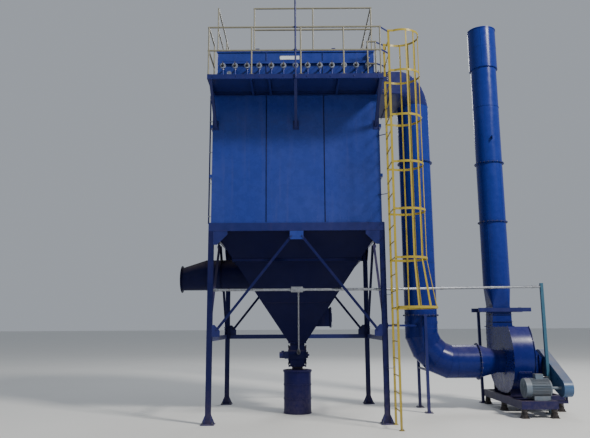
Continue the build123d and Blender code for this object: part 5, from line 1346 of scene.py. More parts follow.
DUCT_X = 2.71
DUCT_Y = 0.33
DUCT_RADIUS = 0.35
DUCT_FLANGE_RADIUS = 0.39
FLANGE_HALF = 0.008
RISER_FLANGES = (2.0, 5.42)
RISER_SEAMS = (1.71, 3.14, 4.28, 6.74)
ELBOW_RADIUS = 0.7
ELBOW_STEPS = 4
ELBOW_END_X = 3.412
DUCT_AXIS_Z = 1.01
LEVEL_FLANGE_X = 3.892
DUCT_FOOT_Y = (-0.14, 0.8)
DUCT_FOOT_REACH = 0.055
DUCT_FOOT_TOP = 0.012
DUCT_CLAMP_Z = 1.842
INLET_Z = 2.875
INLET_RADIUS = 0.325
INLET_CONE_X = -1.95
INLET_RIM_X = -2.468
INLET_MOUTH_Z = 2.79
INLET_MOUTH_RADIUS = 0.24
HOOD_END_X = 2.34
HOOD_Y = (-0.48, 1.14)
HOOD_Z = (6.8, 7.32)


class BAGFILTER_OT_duct(bpy.types.Operator):
    """Flange, seam and bolt the clean-air duct from the hood to the fan"""

    bl_idname = "bag_filter.duct"
    bl_label = "Duct seams and joints"

    def execute(self, context):
        beads = Piece("duct_welds", "duct")
        bolts = Piece("duct_bolts", "bolt")
        gaskets = Piece("duct_gaskets", "rubber")
        riser = Vector((DUCT_X, DUCT_Y, 0))
        flanges = [(riser + UP * z, UP) for z in RISER_FLANGES]
        flanges.append((Vector((LEVEL_FLANGE_X, DUCT_Y, DUCT_AXIS_Z)), RIGHT))
        reach = (DUCT_RADIUS + DUCT_FLANGE_RADIUS) / 2
        for centre, direction in flanges:
            bolts.flange_bolts(centre, direction, reach, settings().flange_bolts, 2 * FLANGE_HALF)
            gaskets.ring(centre, direction, DUCT_FLANGE_RADIUS - 0.001, 0.003, 96, 6)
            for half in (-FLANGE_HALF, FLANGE_HALF):
                beads.bead_ring(centre + direction * half, direction, DUCT_RADIUS)
        # Girth seams of the riser and its long seams, set off from one strake to the next
        for z in RISER_SEAMS:
            beads.bead_ring(riser + UP * z, UP, DUCT_RADIUS)
        for k, (low, high) in enumerate(zip(RISER_SEAMS, RISER_SEAMS[1:])):
            foot = riser + round_z(35 + 110 * k) * DUCT_RADIUS
            stops = [low] + [z for z in RISER_FLANGES if low < z < high] + [high]
            for start, end in zip(stops, stops[1:]):
                beads.bead(foot + UP * (start + FLANGE_HALF), foot + UP * (end - FLANGE_HALF))
        for k in range(ELBOW_STEPS):
            self.mitre_bead(beads, math.pi / 2 / ELBOW_STEPS, k + 0.5)
        beads.bead_ring((ELBOW_END_X, DUCT_Y, DUCT_AXIS_Z), RIGHT, DUCT_RADIUS)
        # Saddle that ties the riser to its posts
        saddle = Piece("riser_clamp", "duct", bevel=0.0015)
        nuts = Piece("riser_clamp_bolts", "bolt")
        saddle.band(riser + UP * DUCT_CLAMP_Z, UP, DUCT_RADIUS - 0.001, DUCT_RADIUS + 0.008, 0.06, 72)
        edge = DUCT_Y - DUCT_RADIUS
        for side in (LEFT, RIGHT):
            low, high = sorted((DUCT_X + side.x * 0.004, DUCT_X + side.x * 0.014))
            saddle.block((low, edge - 0.055, DUCT_CLAMP_Z - 0.03), (high, edge - 0.004, DUCT_CLAMP_Z + 0.03))
            nuts.bolt((DUCT_X + side.x * 0.014, edge - 0.034, DUCT_CLAMP_Z), side, DUCT_THREAD)
        return finish_pieces()

    def mitre_bead(self, beads, step, index):
        """The bead where two straight lengths of the lower elbow meet"""
        centre = Vector((DUCT_X + ELBOW_RADIUS, DUCT_Y, DUCT_AXIS_Z + ELBOW_RADIUS))
        angle = step * index
        out = Vector((-math.cos(angle), 0, -math.sin(angle)))
        along = Vector((math.sin(angle), 0, -math.cos(angle)))
        # The joint is a circle stretched in the plane of the bend
        stretch = 1 / math.cos(step / 2)
        basis = Matrix((out, BACK, along)).transposed().to_4x4() @ Matrix.Diagonal((stretch, 1, 1, 1))
        small = Shape()
        small.bead_ring((0, 0, 0), UP, DUCT_RADIUS, segments=72)
        small.bm.transform(Matrix.Translation(centre + out * ELBOW_RADIUS * stretch) @ basis)
        beads.join(small.to_mesh("Mitre"))


class BAGFILTER_OT_hood(bpy.types.Operator):
    """Stiffen and seam the outlet hood"""

    bl_idname = "bag_filter.hood"
    bl_label = "Hood fittings"

    def execute(self, context):
        near, far = HOOD_Y
        low, high = HOOD_Z
        beads = Piece("hood_welds", "frame", slot="duct_paint")
        for x in (PLENUM_X, HOOD_END_X):
            beads.bead(*[(x, *p) for p in ((near, low), (far, low), (far, high), (near, high), (near, low))])
        # Stiffeners round the hood, and the flange at its root
        flats = Piece("hood_stiffeners", "frame", bevel=settings().edge_radius, slot="duct_paint")
        rim = PLENUM_X + 0.008
        for left, right, reach, top in (
            (1.826, 1.834, 0.03, high + 0.03),
            (2.086, 2.094, 0.03, high + 0.03),
            (PLENUM_X, rim, 0.035, high + 0.004),
        ):
            flats.block((left, near - reach, low - reach), (right, near, top))
            flats.block((left, far, low - reach), (right, far + reach, top))
            if left > PLENUM_X:
                flats.block((left, near, high), (right, far, top))
            flats.block((left, near, low - reach), (right, far, low))
        bolts = Piece("hood_bolts", "bolt")
        for z in spaced(low + 0.04, high - 0.04, 0.12):
            for y in (near - 0.018, far + 0.018):
                bolts.bolt((rim, y, z), RIGHT, PLATE_THREAD)
        for y in spaced(near + 0.05, far - 0.05, 0.14):
            bolts.bolt((rim, y, low - 0.018), RIGHT, PLATE_THREAD)
        return finish_pieces()


class BAGFILTER_OT_inlet(bpy.types.Operator):
    """Seam the inlet duct and stiffen its root"""

    bl_idname = "bag_filter.inlet"
    bl_label = "Inlet duct fittings"

    def execute(self, context):
        beads = Piece("inlet_welds", "hopper")
        cone = Vector((INLET_CONE_X, 0, INLET_Z))
        mouth = Vector((INLET_RIM_X, 0, INLET_MOUTH_Z))
        beads.bead_ring(cone, RIGHT, INLET_RADIUS)
        beads.bead_ring(mouth, RIGHT, INLET_MOUTH_RADIUS + 0.002)
        out = round_x(math.radians(60), FRONT)
        start = cone + out * INLET_RADIUS
        beads.bead(start, start + RIGHT * 0.55)
        beads.bead(start, mouth + out * INLET_MOUTH_RADIUS)
        beads.band((-1.62, 0, INLET_Z), RIGHT, INLET_RADIUS - 0.001, INLET_RADIUS + 0.03, 0.008, 72)
        return finish_pieces()


# Fan, its drive and its base

FAN_LEFT = 4.45
FAN_RIGHT = 4.9
FAN_MIDDLE = 4.675
FAN_TOP = 1.745
FAN_THROAT = (1.4, 1.01)
FAN_ARCS = (
    (FAN_THROAT, (1.07, 0.535), (0.4, 0.38)),
    ((0.4, 0.38), (-0.15, 0.545), (-0.38, 1.01)),
    ((-0.38, 1.01), (-0.3, 1.45), (-0.09, 1.745)),
)
THROAT_BOLT_Y = 1.412
THROAT_BOLTS = (1.15, 1.3, 1.45, 1.6)
EYE_RADIUS = 0.285
SKID_TOP = 0.32
SKID_BOTTOM = 0.17
SKID_CORNERS = ((4.33, -1.0), (5.04, -1.0), (5.56, -0.06), (5.56, 1.45), (4.33, 1.45))
FAN_FEET = (-0.03, 0.58, 1.05)
FOOT_BEAD = 0.008
ISOLATOR_PLACES = (
    (4.395, -0.935), (4.975, -0.935), (4.395, 0.26), (5.495, 0.005), (4.395, 1.385), (5.495, 1.385),
)
ISOLATOR_REACH = 0.06
ISOLATOR_PLATE_TOP = 0.01
PEDESTAL_RIGHT = 5.18
BEARING_FACE = 5.21
GUARD_LEFT = 5.22
GUARD_RIGHT = 5.4
GUARD_LIFT = 0.003
GUARD_RIM = 0.028
# Place and radius of the guard's two ends
GUARD_TOP = (DUCT_Y, DUCT_AXIS_Z, 0.25)
GUARD_FOOT = (-0.74, 0.545, 0.175)
LOUVRE_COUNT = 13
MOTOR_LEFT = Vector((4.48, -0.74, 0.545))
MOTOR_RIGHT = Vector((4.99, -0.74, 0.545))
MOTOR_BOX = Vector((4.775, -0.74, 0.818))
MOTOR_CABLE_RUN = (
    (4.88, -0.77, 0.765),
    (4.96, -0.77, 0.76),
    (5.015, -0.7, 0.64),
    (5.02, -0.64, 0.42),
    (5.02, -0.62, 0.33),
)


def polar(centre, radius, start, sweep, count):
    """Points along an arc, as places across Y and Z"""
    turns = [start + sweep * k / count for k in range(count + 1)]
    return [centre + radius * Vector((math.cos(turn), math.sin(turn))) for turn in turns]


def arc_points(first, second, third, count):
    """Points on the arc through three points, in the plane of Y and Z, and its centre"""
    (ax, ay), (bx, by), (cx, cy) = first, second, third
    d = 2 * (ax * (by - cy) + bx * (cy - ay) + cx * (ay - by))
    a2, b2, c2 = ax * ax + ay * ay, bx * bx + by * by, cx * cx + cy * cy
    centre = Vector((
        (a2 * (by - cy) + b2 * (cy - ay) + c2 * (ay - by)) / d,
        (a2 * (cx - bx) + b2 * (ax - cx) + c2 * (bx - ax)) / d,
    ))
    turns = [math.atan2(p[1] - centre.y, p[0] - centre.x) for p in (first, second, third)]
    sweep = (turns[2] - turns[0]) % (2 * math.pi)
    if (turns[1] - turns[0]) % (2 * math.pi) > sweep:
        sweep -= 2 * math.pi
    return polar(centre, (Vector(first) - centre).length, turns[0], sweep, count), centre


def scroll_points(count, reach=0.0):
    """Points along the curved part of the fan's scroll, moved outwards by a reach"""
    made = []
    for arc in FAN_ARCS:
        points, centre = arc_points(*arc, count)
        moved = [p + (p - centre).normalized() * reach for p in points]
        made += moved[:-1]
    return made + moved[-1:]


def guard_outline(reach=0.0):
    """Outline of the belt guard, moved inwards by a reach"""
    top = Vector(GUARD_TOP[:2])
    foot = Vector(GUARD_FOOT[:2])
    line = foot - top
    lean = math.atan2(line.y, line.x)
    open_angle = math.acos((GUARD_TOP[2] - GUARD_FOOT[2]) / line.length)
    return [
        *polar(top, GUARD_TOP[2] - reach, lean + open_angle, 2 * math.pi - 2 * open_angle, 18),
        *polar(foot, GUARD_FOOT[2] - reach, lean - open_angle, 2 * open_angle, 18),
    ]


class BAGFILTER_OT_fan(bpy.types.Operator):
    """Weld and bolt the fan's casing, and fit its hatch and drain"""

    bl_idname = "bag_filter.fan"
    bl_label = "Fan casing fittings"

    def execute(self, context):
        beads = Piece("fan_welds", "duct")
        line = scroll_points(14)
        for x in (FAN_LEFT + 0.008, FAN_RIGHT - 0.008):
            for a, b in zip(line, line[1:]):
                beads.bead((x, *a), (x, *b))
            beads.bead((x, *FAN_THROAT), (x, FAN_THROAT[0], FAN_TOP))
        beads.bead_ring((FAN_LEFT, DUCT_Y, DUCT_AXIS_Z), LEFT, EYE_RADIUS)
        # Inspection hatch on the front of the scroll
        hatch = Piece("fan_hatch", "duct", bevel=0.0015)
        bolts = Piece("fan_bolts", "bolt")
        points, centre = arc_points(*FAN_ARCS[1], 20)
        at = points[15]
        out = Vector((0, *(at - centre).normalized()))
        turn = Matrix((RIGHT, out.cross(RIGHT), out)).transposed().to_4x4()
        place = Matrix.Translation((FAN_MIDDLE, *at)) @ turn
        verts = list(hatch.block((-0.135, -0.105, -0.004), (0.135, 0.105, 0.01)))
        verts += hatch.block((-0.115, -0.085, 0.01), (0.115, 0.085, 0.018))
        bmesh.ops.transform(hatch.bm, matrix=place, verts=verts)
        grip = ((-0.05, 0, 0.018), (-0.05, 0, 0.052), (0.05, 0, 0.052), (0.05, 0, 0.018))
        hatch.pipe([place @ Vector(p) for p in grip], 0.006)
        for x in (-0.122, 0.0, 0.122):
            for y in (-0.093, 0.093):
                bolts.bolt(place @ Vector((x, y, 0.01)), out, SMALL_THREAD)
        # Rims of both cheeks, eye and drain
        rim = scroll_points(6, 0.012) + [Vector((THROAT_BOLT_Y, z)) for z in THROAT_BOLTS]
        for p in rim:
            bolts.bolt((FAN_LEFT, *p), LEFT, PLATE_THREAD)
            bolts.bolt((FAN_RIGHT, *p), RIGHT, PLATE_THREAD)
        bolts.bolt_ring((FAN_LEFT - 0.012, DUCT_Y, DUCT_AXIS_Z), LEFT, 0.264, 16, PLATE_THREAD)
        bolts.rod((FAN_MIDDLE, 0.4, 0.382), DOWN, 0.016, 0.03, 12)
        bolts.rod((FAN_MIDDLE, 0.4, 0.352), DOWN, 0.02, 0.014, 6)
        return finish_pieces()


class BAGFILTER_OT_drive(bpy.types.Operator):
    """Fit the bearing, the belt guard and the motor with their fastenings"""

    bl_idname = "bag_filter.drive"
    bl_label = "Bearing, guard and motor fittings"

    def execute(self, context):
        bolts = Shape()
        self.bearing(bolts)
        self.guard(bolts)
        self.motor(bolts)
        Piece("drive_bolts", "bolt").join(bolts.to_mesh("Bolts"))
        return finish_pieces()

    def bearing(self, bolts):
        # Ribs and foot flange of the pedestal
        ribs = Piece("pedestal_ribs", "duct", bevel=settings().edge_radius)
        top = SKID_TOP + 0.01
        for y, side in ((0.05, FRONT), (0.61, BACK)):
            for x, height in ((4.96, 1.38), (5.12, 1.16)):
                foot = Vector((x, y, SKID_TOP)) + side * 0.018
                ribs.bar(foot, (x, foot.y, height), 0.008, 0.036, side)
            low, high = sorted((y, y + side.y * 0.05))
            ribs.block((FAN_RIGHT + 0.02, low, SKID_TOP), (PEDESTAL_RIGHT, high, top))
            for x in (4.995, 5.085, 5.155):
                bolts.bolt((x, y + side.y * 0.028, top), UP, FRAME_THREAD)
        ribs.block((PEDESTAL_RIGHT, 0.19, 0.88), (PEDESTAL_RIGHT + 0.012, 0.47, 0.935))
        cover = Piece("bearing_cover", "zinc")
        axle = Vector((BEARING_FACE, DUCT_Y, DUCT_AXIS_Z))
        cover.rod(axle, RIGHT, 0.062, 0.004, 32)
        cover.bolt_ring(axle + RIGHT * 0.004, RIGHT, 0.05, 6, 0.006)
        cover.rod(axle + Vector((-0.015, 0, 0.074)), UP, 0.006, 0.012, 6)
        cover.rod(axle + Vector((-0.015, 0, 0.086)), UP, 0.003, 0.01, 10)
        for dy, dz in corners(0.082, 0.046):
            bolts.bolt(axle + Vector((0, dy, dz)), RIGHT, PLATE_THREAD)
        seal = Piece("shaft_seal", "zinc")
        seal.band((4.905, DUCT_Y, DUCT_AXIS_Z), RIGHT, 0.05, 0.105, 0.01, 40)

    def guard(self, bolts):
        rims = Piece("guard_rims", "guard", bevel=0.001)
        for x, face in ((GUARD_RIGHT, GUARD_RIGHT + GUARD_LIFT), (GUARD_LEFT, GUARD_LEFT - GUARD_LIFT)):
            section = ((x, 0.0), (face, 0.0), (face, GUARD_RIM), (x, GUARD_RIM))
            rims.loft([[(at, *p) for p in guard_outline(reach)] for at, reach in section])
        face = GUARD_RIGHT + GUARD_LIFT
        for p in guard_outline(GUARD_RIM / 2)[1::3]:
            bolts.bolt((face, *p), RIGHT, SMALL_THREAD)
        # Louvres over the belt on the outer face, and a hub cover
        louvres = Piece("guard_louvres", "guard", bevel=0.0015)
        top, foot = Vector(GUARD_TOP[:2]), Vector(GUARD_FOOT[:2])
        across = (foot - top).normalized().orthogonal()
        for k in range(LOUVRE_COUNT):
            share = (k + 1.2) / (LOUVRE_COUNT + 1.4)
            middle = top + (foot - top) * share
            half = GUARD_TOP[2] * (1 - share) + GUARD_FOOT[2] * share - 0.07
            for side in (-across, across):
                start, end = middle + side * 0.014, middle + side * half
                louvres.bar((face, *start), (face, *end), 0.012, 0.012, RIGHT)
        louvres.rod((GUARD_RIGHT, *top), RIGHT, 0.052, 0.01, 32)

    def motor(self, bolts):
        # Fan cover with its grille, terminal box lid and nose of the shield
        cowl = Piece("motor_details", "motor", bevel=0.0012)
        cowl.band(MOTOR_LEFT + RIGHT * 0.004, LEFT, 0.172, 0.193, 0.014)
        for k in range(6):
            cowl.band(MOTOR_LEFT + LEFT * 0.003, LEFT, 0.028 + 0.024 * k, 0.034 + 0.024 * k, 0.005, 40)
            out = round_x(k * math.pi / 3, BACK)
            spoke = MOTOR_LEFT + LEFT * 0.002
            cowl.bar(spoke + out * 0.01, spoke + out * 0.175, 0.007, 0.004, LEFT)
        cowl.block((4.696, -0.819, 0.806), (4.854, -0.661, 0.818))
        cowl.band(MOTOR_RIGHT + RIGHT * 0.002, RIGHT, 0.03, 0.07, 0.012, 40)
        cowl.band(MOTOR_RIGHT + LEFT * 0.03, RIGHT, 0.16, 0.182, 0.014)
        bolts.bolt_ring(MOTOR_RIGHT + LEFT * 0.023, RIGHT, 0.171, 8, SMALL_THREAD)
        for dx, dy in corners(0.068, 0.068):
            bolts.bolt(MOTOR_BOX + Vector((dx, dy, 0)), UP, SCREW_THREAD, washer=False)
        for dx, dy in corners(0.125, 0.14):
            foot = Vector((MOTOR_BOX.x + dx, MOTOR_BOX.y + dy, SKID_TOP))
            bolts.block(foot - Vector((0.04, 0.03, 0)), foot + Vector((0.04, 0.03, 0.012)))
            bolts.bolt(foot + (BACK if dy > 0 else FRONT) * 0.06, UP, DUCT_THREAD)
        glands = Piece("motor_glands", "zinc")
        for dy in (-0.03, 0.03):
            place = Vector((4.85, MOTOR_BOX.y + dy, 0.765))
            glands.rod(place, RIGHT, 0.016, 0.018, 6)
            glands.rod(place + RIGHT * 0.018, RIGHT, 0.011, 0.016, 14)
        cable = Piece("motor_cable", "rubber")
        cable.pipe(MOTOR_CABLE_RUN, 0.008)


class BAGFILTER_OT_skid(bpy.types.Operator):
    """Weld the base frame and dress its spring isolators"""

    bl_idname = "bag_filter.skid"
    bl_label = "Base frame and isolators"

    def execute(self, context):
        cups = Piece("isolator_cups", "isolator", bevel=0.001)
        springs = Piece("isolator_springs", "spring")
        # Bolts of the casing's feet and corner beads of the frame
        beads = Piece("skid_welds", "column")
        bolts = Piece("isolator_bolts", "bolt")
        for x, y in ISOLATOR_PLACES:
            cups.band((x, y, 0.091), UP, 0.0595, 0.066, 0.01, 32)
            cups.band((x, y, 0.114), UP, 0.0555, 0.062, 0.008, 32)
            for k in range(4):
                out = round_z(45 + 90 * k)
                foot = Vector((x, y, ISOLATOR_PLATE_TOP)) + out * 0.068
                cups.bar(foot, foot + UP * 0.05, 0.006, 0.018, out)
            springs.ring((x, y, 0.1025), UP, 0.044, 0.006, 32)
            for side in (FRONT, BACK):
                bolts.bolt((x, y + side.y * 0.062, 0.125), side, SMALL_THREAD)
        for y in FAN_FEET:
            for face in (y - 0.005, y + 0.005):
                beads.bead((FAN_LEFT, face, SKID_TOP), (FAN_RIGHT, face, SKID_TOP), width=FOOT_BEAD)
        for corner in SKID_CORNERS:
            beads.bead((*corner, SKID_BOTTOM), (*corner, SKID_TOP), width=FOOT_BEAD)
        return finish_pieces()


# Stack

STACK_Y = 1.15
STACK_AXIS = Vector((FAN_MIDDLE, STACK_Y, 0))
STACK_RADIUS = 0.305
STACK_FLANGES = (4.185, 5.62)
STACK_CONE = (2.2, 2.7)
STACK_SEAM = 7.03
STACK_SHOULDER = 8.02
STACK_HEAD_SEAM = 8.56
STACK_HEAD_RADIUS = 0.335
STACK_TOP = 9.055
STACK_LUG_Z = 6.2
STACK_POSTS = ((4.33, 1.56), (5.08, 1.56))
STACK_FRAME_TOP = 2.17
STACK_FRAME_BOLTS = (0.87, 1.43)
NECK_HALF_X = 0.225
NECK_WAIST_X = 0.195
NECK_HALF_Y = 0.25
NECK_RIBS = (1.86, 2.02)
NECK_RIB_REACH = 0.025


class BAGFILTER_OT_stack(bpy.types.Operator):
    """Bolt and seam the stack, its neck and its frame"""

    bl_idname = "bag_filter.stack"
    bl_label = "Stack joints and seams"

    def execute(self, context):
        beads = Piece("stack_welds", "duct")
        bolts = Piece("stack_bolts", "bolt")
        gaskets = Piece("stack_gaskets", "rubber")
        for z in STACK_FLANGES:
            centre = STACK_AXIS + UP * z
            bolts.flange_bolts(centre, UP, STACK_RADIUS + 0.022, 20, 2 * FLANGE_HALF)
            gaskets.ring(centre, UP, STACK_RADIUS + 0.039, 0.003, 96, 6)
            for half in (-FLANGE_HALF, FLANGE_HALF):
                beads.bead_ring(centre + UP * half, UP, STACK_RADIUS)
        for z in (STACK_CONE[1], STACK_SEAM - 0.01, STACK_SEAM + 0.01, STACK_SHOULDER):
            beads.bead_ring(STACK_AXIS + UP * z, UP, STACK_RADIUS)
        for z in (STACK_SHOULDER + 0.004, STACK_HEAD_SEAM):
            beads.bead_ring(STACK_AXIS + UP * z, UP, STACK_HEAD_RADIUS - 0.001)
        levels = (STACK_CONE[1], *STACK_FLANGES, STACK_SEAM, STACK_SHOULDER)
        for k, (low, high) in enumerate(zip(levels, levels[1:])):
            foot = STACK_AXIS + round_z(230 + 75 * k) * STACK_RADIUS
            beads.bead(foot + UP * (low + 0.01), foot + UP * (high - 0.01))
        foot = STACK_AXIS + round_z(250) * STACK_HEAD_RADIUS
        beads.bead(foot + UP * STACK_SHOULDER, foot + UP * STACK_TOP)
        rim = STACK_AXIS + UP * (STACK_TOP - 0.012)
        beads.band(rim, UP, STACK_HEAD_RADIUS - 0.001, STACK_HEAD_RADIUS + 0.01, 0.02, 72)
        for sx, sy in CORNERS:
            root = Vector((sx * (NECK_HALF_X - 0.002), sy * (NECK_HALF_Y - 0.002), FAN_TOP + 0.017))
            waist = Vector((sx * (NECK_WAIST_X - 0.002), root.y, STACK_CONE[0]))
            beads.bead(STACK_AXIS + root, STACK_AXIS + waist)
        # Joint between the fan's outlet and the neck
        joint = STACK_AXIS + UP * (FAN_TOP + 0.015)
        for side in SIDES:
            for x in spaced(-NECK_HALF_X, NECK_HALF_X, 0.12):
                bolts.bolt(joint + Vector((x, side * (NECK_HALF_Y + 0.018), 0)), UP, PLATE_THREAD)
            for y in spaced(-0.19, 0.19, 0.12):
                bolts.bolt(joint + Vector((side * (NECK_HALF_X + 0.018), y, 0)), UP, PLATE_THREAD)
        # Shackle hole plates of the lug
        lug = STACK_AXIS + Vector((0, -STACK_RADIUS - 0.036, STACK_LUG_Z))
        for side in (LEFT, RIGHT):
            bolts.band(lug + side * 0.008, side, 0.012, 0.026, 0.004, 24)
        # Frame round the neck
        for post, _ in STACK_POSTS:
            for x in (post - 0.018, post + 0.018):
                for y in STACK_FRAME_BOLTS:
                    bolts.bolt((x, y, STACK_FRAME_TOP), UP, DUCT_THREAD)
        ribs = Piece("neck_ribs", "duct", bevel=settings().edge_radius)
        reach = NECK_RIB_REACH
        near, far = STACK_Y - NECK_HALF_Y, STACK_Y + NECK_HALF_Y
        for z in NECK_RIBS:
            share = (z - FAN_TOP) / (STACK_CONE[0] - FAN_TOP)
            half = NECK_HALF_X + share * (NECK_WAIST_X - NECK_HALF_X)
            left, right = FAN_MIDDLE - half, FAN_MIDDLE + half
            low, high = z - 0.004, z + 0.004
            ribs.block((left - reach, near - reach, low), (right + reach, near, high))
            ribs.block((left - reach, far, low), (right + reach, far + reach, high))
            ribs.block((left - reach, near, low), (left, far, high))
            ribs.block((right, near, low), (right + reach, far, high))
        return finish_pieces()


# Electrical conduit and air pipe

CONDUIT_RADIUS = 0.025
CONDUIT_TURN = Vector((1.72, -1.46, 2.47))
CONDUIT_END = Vector((5.12, -0.3, 2.57))
CONDUIT_POST = (5.15, -0.3)
BOX_HALF = Vector((0.11, 0.045, 0.05))
DROP_START = Vector((0.03, -1.46, 2.42))
DROP_END = Vector((0.03, -0.17, 1.19))
DROP_RADIUS = 0.015
AIR_PIPE = Vector((-1.719, -1.48, 0))
CLIP_LEVELS = (3.9, 4.56, 5.2, 5.84, 6.3)


class BAGFILTER_OT_conduit(bpy.types.Operator):
    """Couple and clamp the conduit and the air pipe, and close the junction box"""

    bl_idname = "bag_filter.conduit"
    bl_label = "Conduit and pipe fittings"

    def execute(self, context):
        fittings = Piece("conduit_fittings", "zinc")
        box = Vector((0, *CONDUIT_TURN.yz))
        run = CONDUIT_END - CONDUIT_TURN
        couplings = [(box + RIGHT * x, RIGHT) for x in (-1.56, -0.82, 0.76, 1.56)]
        couplings += [(CONDUIT_TURN + run * share, run) for share in (0.03, 0.34, 0.66, 0.95)]
        for centre, along in couplings:
            fittings.band(centre, along, CONDUIT_RADIUS - 0.0005, CONDUIT_RADIUS + 0.006, 0.06, 28)
        for side in (LEFT, RIGHT):
            fittings.rod(box + side * BOX_HALF.x, side, 0.036, 0.014, 6)
            fittings.rod(box + side * (BOX_HALF.x + 0.014), side, 0.031, 0.024)
        # Straps to the two front columns
        for column in (-COLUMN_X, COLUMN_X):
            for x in (column - 0.018, column + 0.018):
                fittings.ring(box + RIGHT * x, RIGHT, CONDUIT_RADIUS + 0.004, 0.004, 28)
                for dz in (-0.04, 0.04):
                    fittings.bolt((x, -1.485, box.z + dz), BACK, 0.006)
        # Drop to the valve, with its couplings and flared end
        drop = DROP_END - DROP_START
        down = drop.normalized()
        fittings.rod(DROP_START + DOWN * 0.001, DOWN, 0.026, 0.016, 6)
        for share in (0.05, 0.52):
            centre = DROP_START + drop * share
            fittings.band(centre, down, DROP_RADIUS - 0.0005, DROP_RADIUS + 0.005, 0.05, 24)
        fittings.rod(DROP_END - down * 0.2, down, 0.018, 0.12, 28, top=0.04)
        fittings.rod(DROP_END - down * 0.08, down, 0.04, 0.028, 28)
        cover = Piece("junction_box_cover", "zinc", bevel=0.0018)
        face = box + FRONT * BOX_HALF.y
        rim = Vector((BOX_HALF.x + 0.003, 0, BOX_HALF.z + 0.003))
        cover.block(face - rim + FRONT * 0.006, face + rim)
        for x, z in corners(0.098, 0.038):
            cover.dome(face + Vector((x, -0.006, z)), FRONT, 0.007, 0.004, 14, 3)
        # Cap of the conduit's post
        cap = Piece("conduit_post_cap", "post", bevel=0.001)
        cap.rod((*CONDUIT_POST, 2.64), UP, 0.042, 0.006, 4, turn=math.pi / 4)
        cap.ring((5.118, -0.3, 2.57), run, CONDUIT_RADIUS + 0.005, 0.005, 28)
        # Clips of the air pipe
        clips = Piece("air_pipe_clips", "zinc")
        for z in CLIP_LEVELS:
            centre = AIR_PIPE + UP * z
            clips.band(centre, UP, 0.0135, 0.019, 0.024, 20)
            clips.block(centre + Vector((0.012, -0.012, -0.003)), (-HOUSING_X, AIR_PIPE.y + 0.012, z + 0.003))
        return finish_pieces()


# Studio

FLOOR_HALF = 400.0
FLOOR_DROP = 0.002
SKY_COLOUR = (0.78, 0.84, 0.93, 1)
SKY_STRENGTH = 0.45
SENSOR_WIDTH = 36.0
# Place, target, size, energy and tint of each lamp
LAMPS = {
    "Key": ((16.0, -15.0, 20.0), (0.5, 0, 4.5), 4.0, 8200.0, (1.0, 0.965, 0.9)),
    "Fill": ((-16.0, -14.0, 9.0), (1.5, 0, 4.0), 12.0, 200.0, (0.86, 0.92, 1.0)),
    "Rim": ((6.0, 16.0, 15.0), (1.5, 0, 5.0), 8.0, 1200.0, (0.95, 0.97, 1.0)),
}


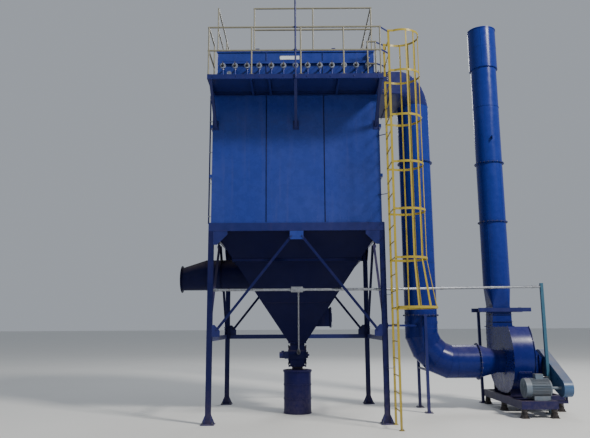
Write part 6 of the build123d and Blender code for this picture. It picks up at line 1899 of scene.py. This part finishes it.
class BAGFILTER_OT_studio(bpy.types.Operator):
    """Lay the floor and set the lights and the camera"""

    bl_idname = "bag_filter.studio"
    bl_label = "Studio"

    def execute(self, context):
        scene = context.scene
        plane = Shape()
        bmesh.ops.create_grid(plane.bm, x_segments=1, y_segments=1, size=FLOOR_HALF)
        material, tree, shader = new_material("Floor")
        colour = settings().floor_colour
        faint = tree.spread(tree.noise(0.6, 4.0, 0.5), 0.3, 0.7)
        tree.put(tree.blend(faint, opaque(colour), opaque(0.97 * c for c in colour)), shader["Base Color"])
        tree.put(0.85, shader["Roughness"])
        floor = bpy.data.objects.new("Floor", plane.to_mesh("Floor"))
        floor.data.materials.append(material)
        floor.location.z = -FLOOR_DROP
        scene.collection.objects.link(floor)
        scene.world = bpy.data.worlds.new("Studio")
        scene.world.use_nodes = True
        background = scene.world.node_tree.nodes["Background"].inputs
        background["Color"].default_value = SKY_COLOUR
        background["Strength"].default_value = SKY_STRENGTH
        for label, (place, target, size, energy, tint) in LAMPS.items():
            lamp = bpy.data.lights.new(label, "AREA")
            lamp.energy = energy
            lamp.size = size
            lamp.color = tint
            holder = bpy.data.objects.new(label, lamp)
            holder.location = place
            holder.rotation_euler = (Vector(target) - Vector(place)).to_track_quat("-Z", "Y").to_euler()
            scene.collection.objects.link(holder)
        lens = bpy.data.cameras.new("Camera")
        lens.lens = CAMERA_LENS
        lens.sensor_width = SENSOR_WIDTH
        lens.clip_end = 1.5 * FLOOR_HALF
        camera = bpy.data.objects.new("Camera", lens)
        camera.matrix_world = (
            Matrix.Translation(CAMERA_PLACE)
            @ Matrix.Rotation(math.radians(CAMERA_YAW), 4, "Z")
            @ Matrix.Rotation(math.radians(90 + CAMERA_PITCH), 4, "X")
            @ Matrix.Rotation(math.radians(CAMERA_ROLL), 4, "Z")
        )
        scene.collection.objects.link(camera)
        scene.camera = camera
        return {"FINISHED"}


# Panel, registration and the run as a script

OPERATORS = (
    BAGFILTER_OT_finishes,
    BAGFILTER_OT_anchors,
    BAGFILTER_OT_tower,
    BAGFILTER_OT_hopper,
    BAGFILTER_OT_valve,
    BAGFILTER_OT_housing,
    BAGFILTER_OT_nameplate,
    BAGFILTER_OT_pulse_gear,
    BAGFILTER_OT_deck,
    BAGFILTER_OT_mast,
    BAGFILTER_OT_ladder,
    BAGFILTER_OT_duct,
    BAGFILTER_OT_hood,
    BAGFILTER_OT_inlet,
    BAGFILTER_OT_fan,
    BAGFILTER_OT_drive,
    BAGFILTER_OT_skid,
    BAGFILTER_OT_stack,
    BAGFILTER_OT_conduit,
    BAGFILTER_OT_studio,
)


class BAGFILTER_PT_panel(bpy.types.Panel):
    """Builds the plant's fittings one group at a time"""

    bl_idname = "BAGFILTER_PT_panel"
    bl_label = "Bag Filter"
    bl_space_type = "VIEW_3D"
    bl_region_type = "UI"
    bl_category = "Bag Filter"

    def draw(self, context):
        for operator in OPERATORS:
            self.layout.operator(operator.bl_idname)
        for key in BagFilterSettings.__annotations__:
            self.layout.prop(context.scene.bag_filter, key)


CLASSES = (BagFilterSettings, *OPERATORS, BAGFILTER_PT_panel)


def register():
    for kind in CLASSES:
        bpy.utils.register_class(kind)
    bpy.types.Scene.bag_filter = bpy.props.PointerProperty(type=BagFilterSettings)


def unregister():
    del bpy.types.Scene.bag_filter
    for kind in reversed(CLASSES):
        bpy.utils.unregister_class(kind)


def main():
    register()
    for kind in OPERATORS:
        run = getattr(bpy.ops.bag_filter, kind.bl_idname.split(".")[1])
        if run() != {"FINISHED"}:
            raise RuntimeError(f"{kind.bl_label} could not be built")
    for mesh in BOLT_MESHES.values():
        bpy.data.meshes.remove(mesh)


if __name__ == "__main__":
    main()
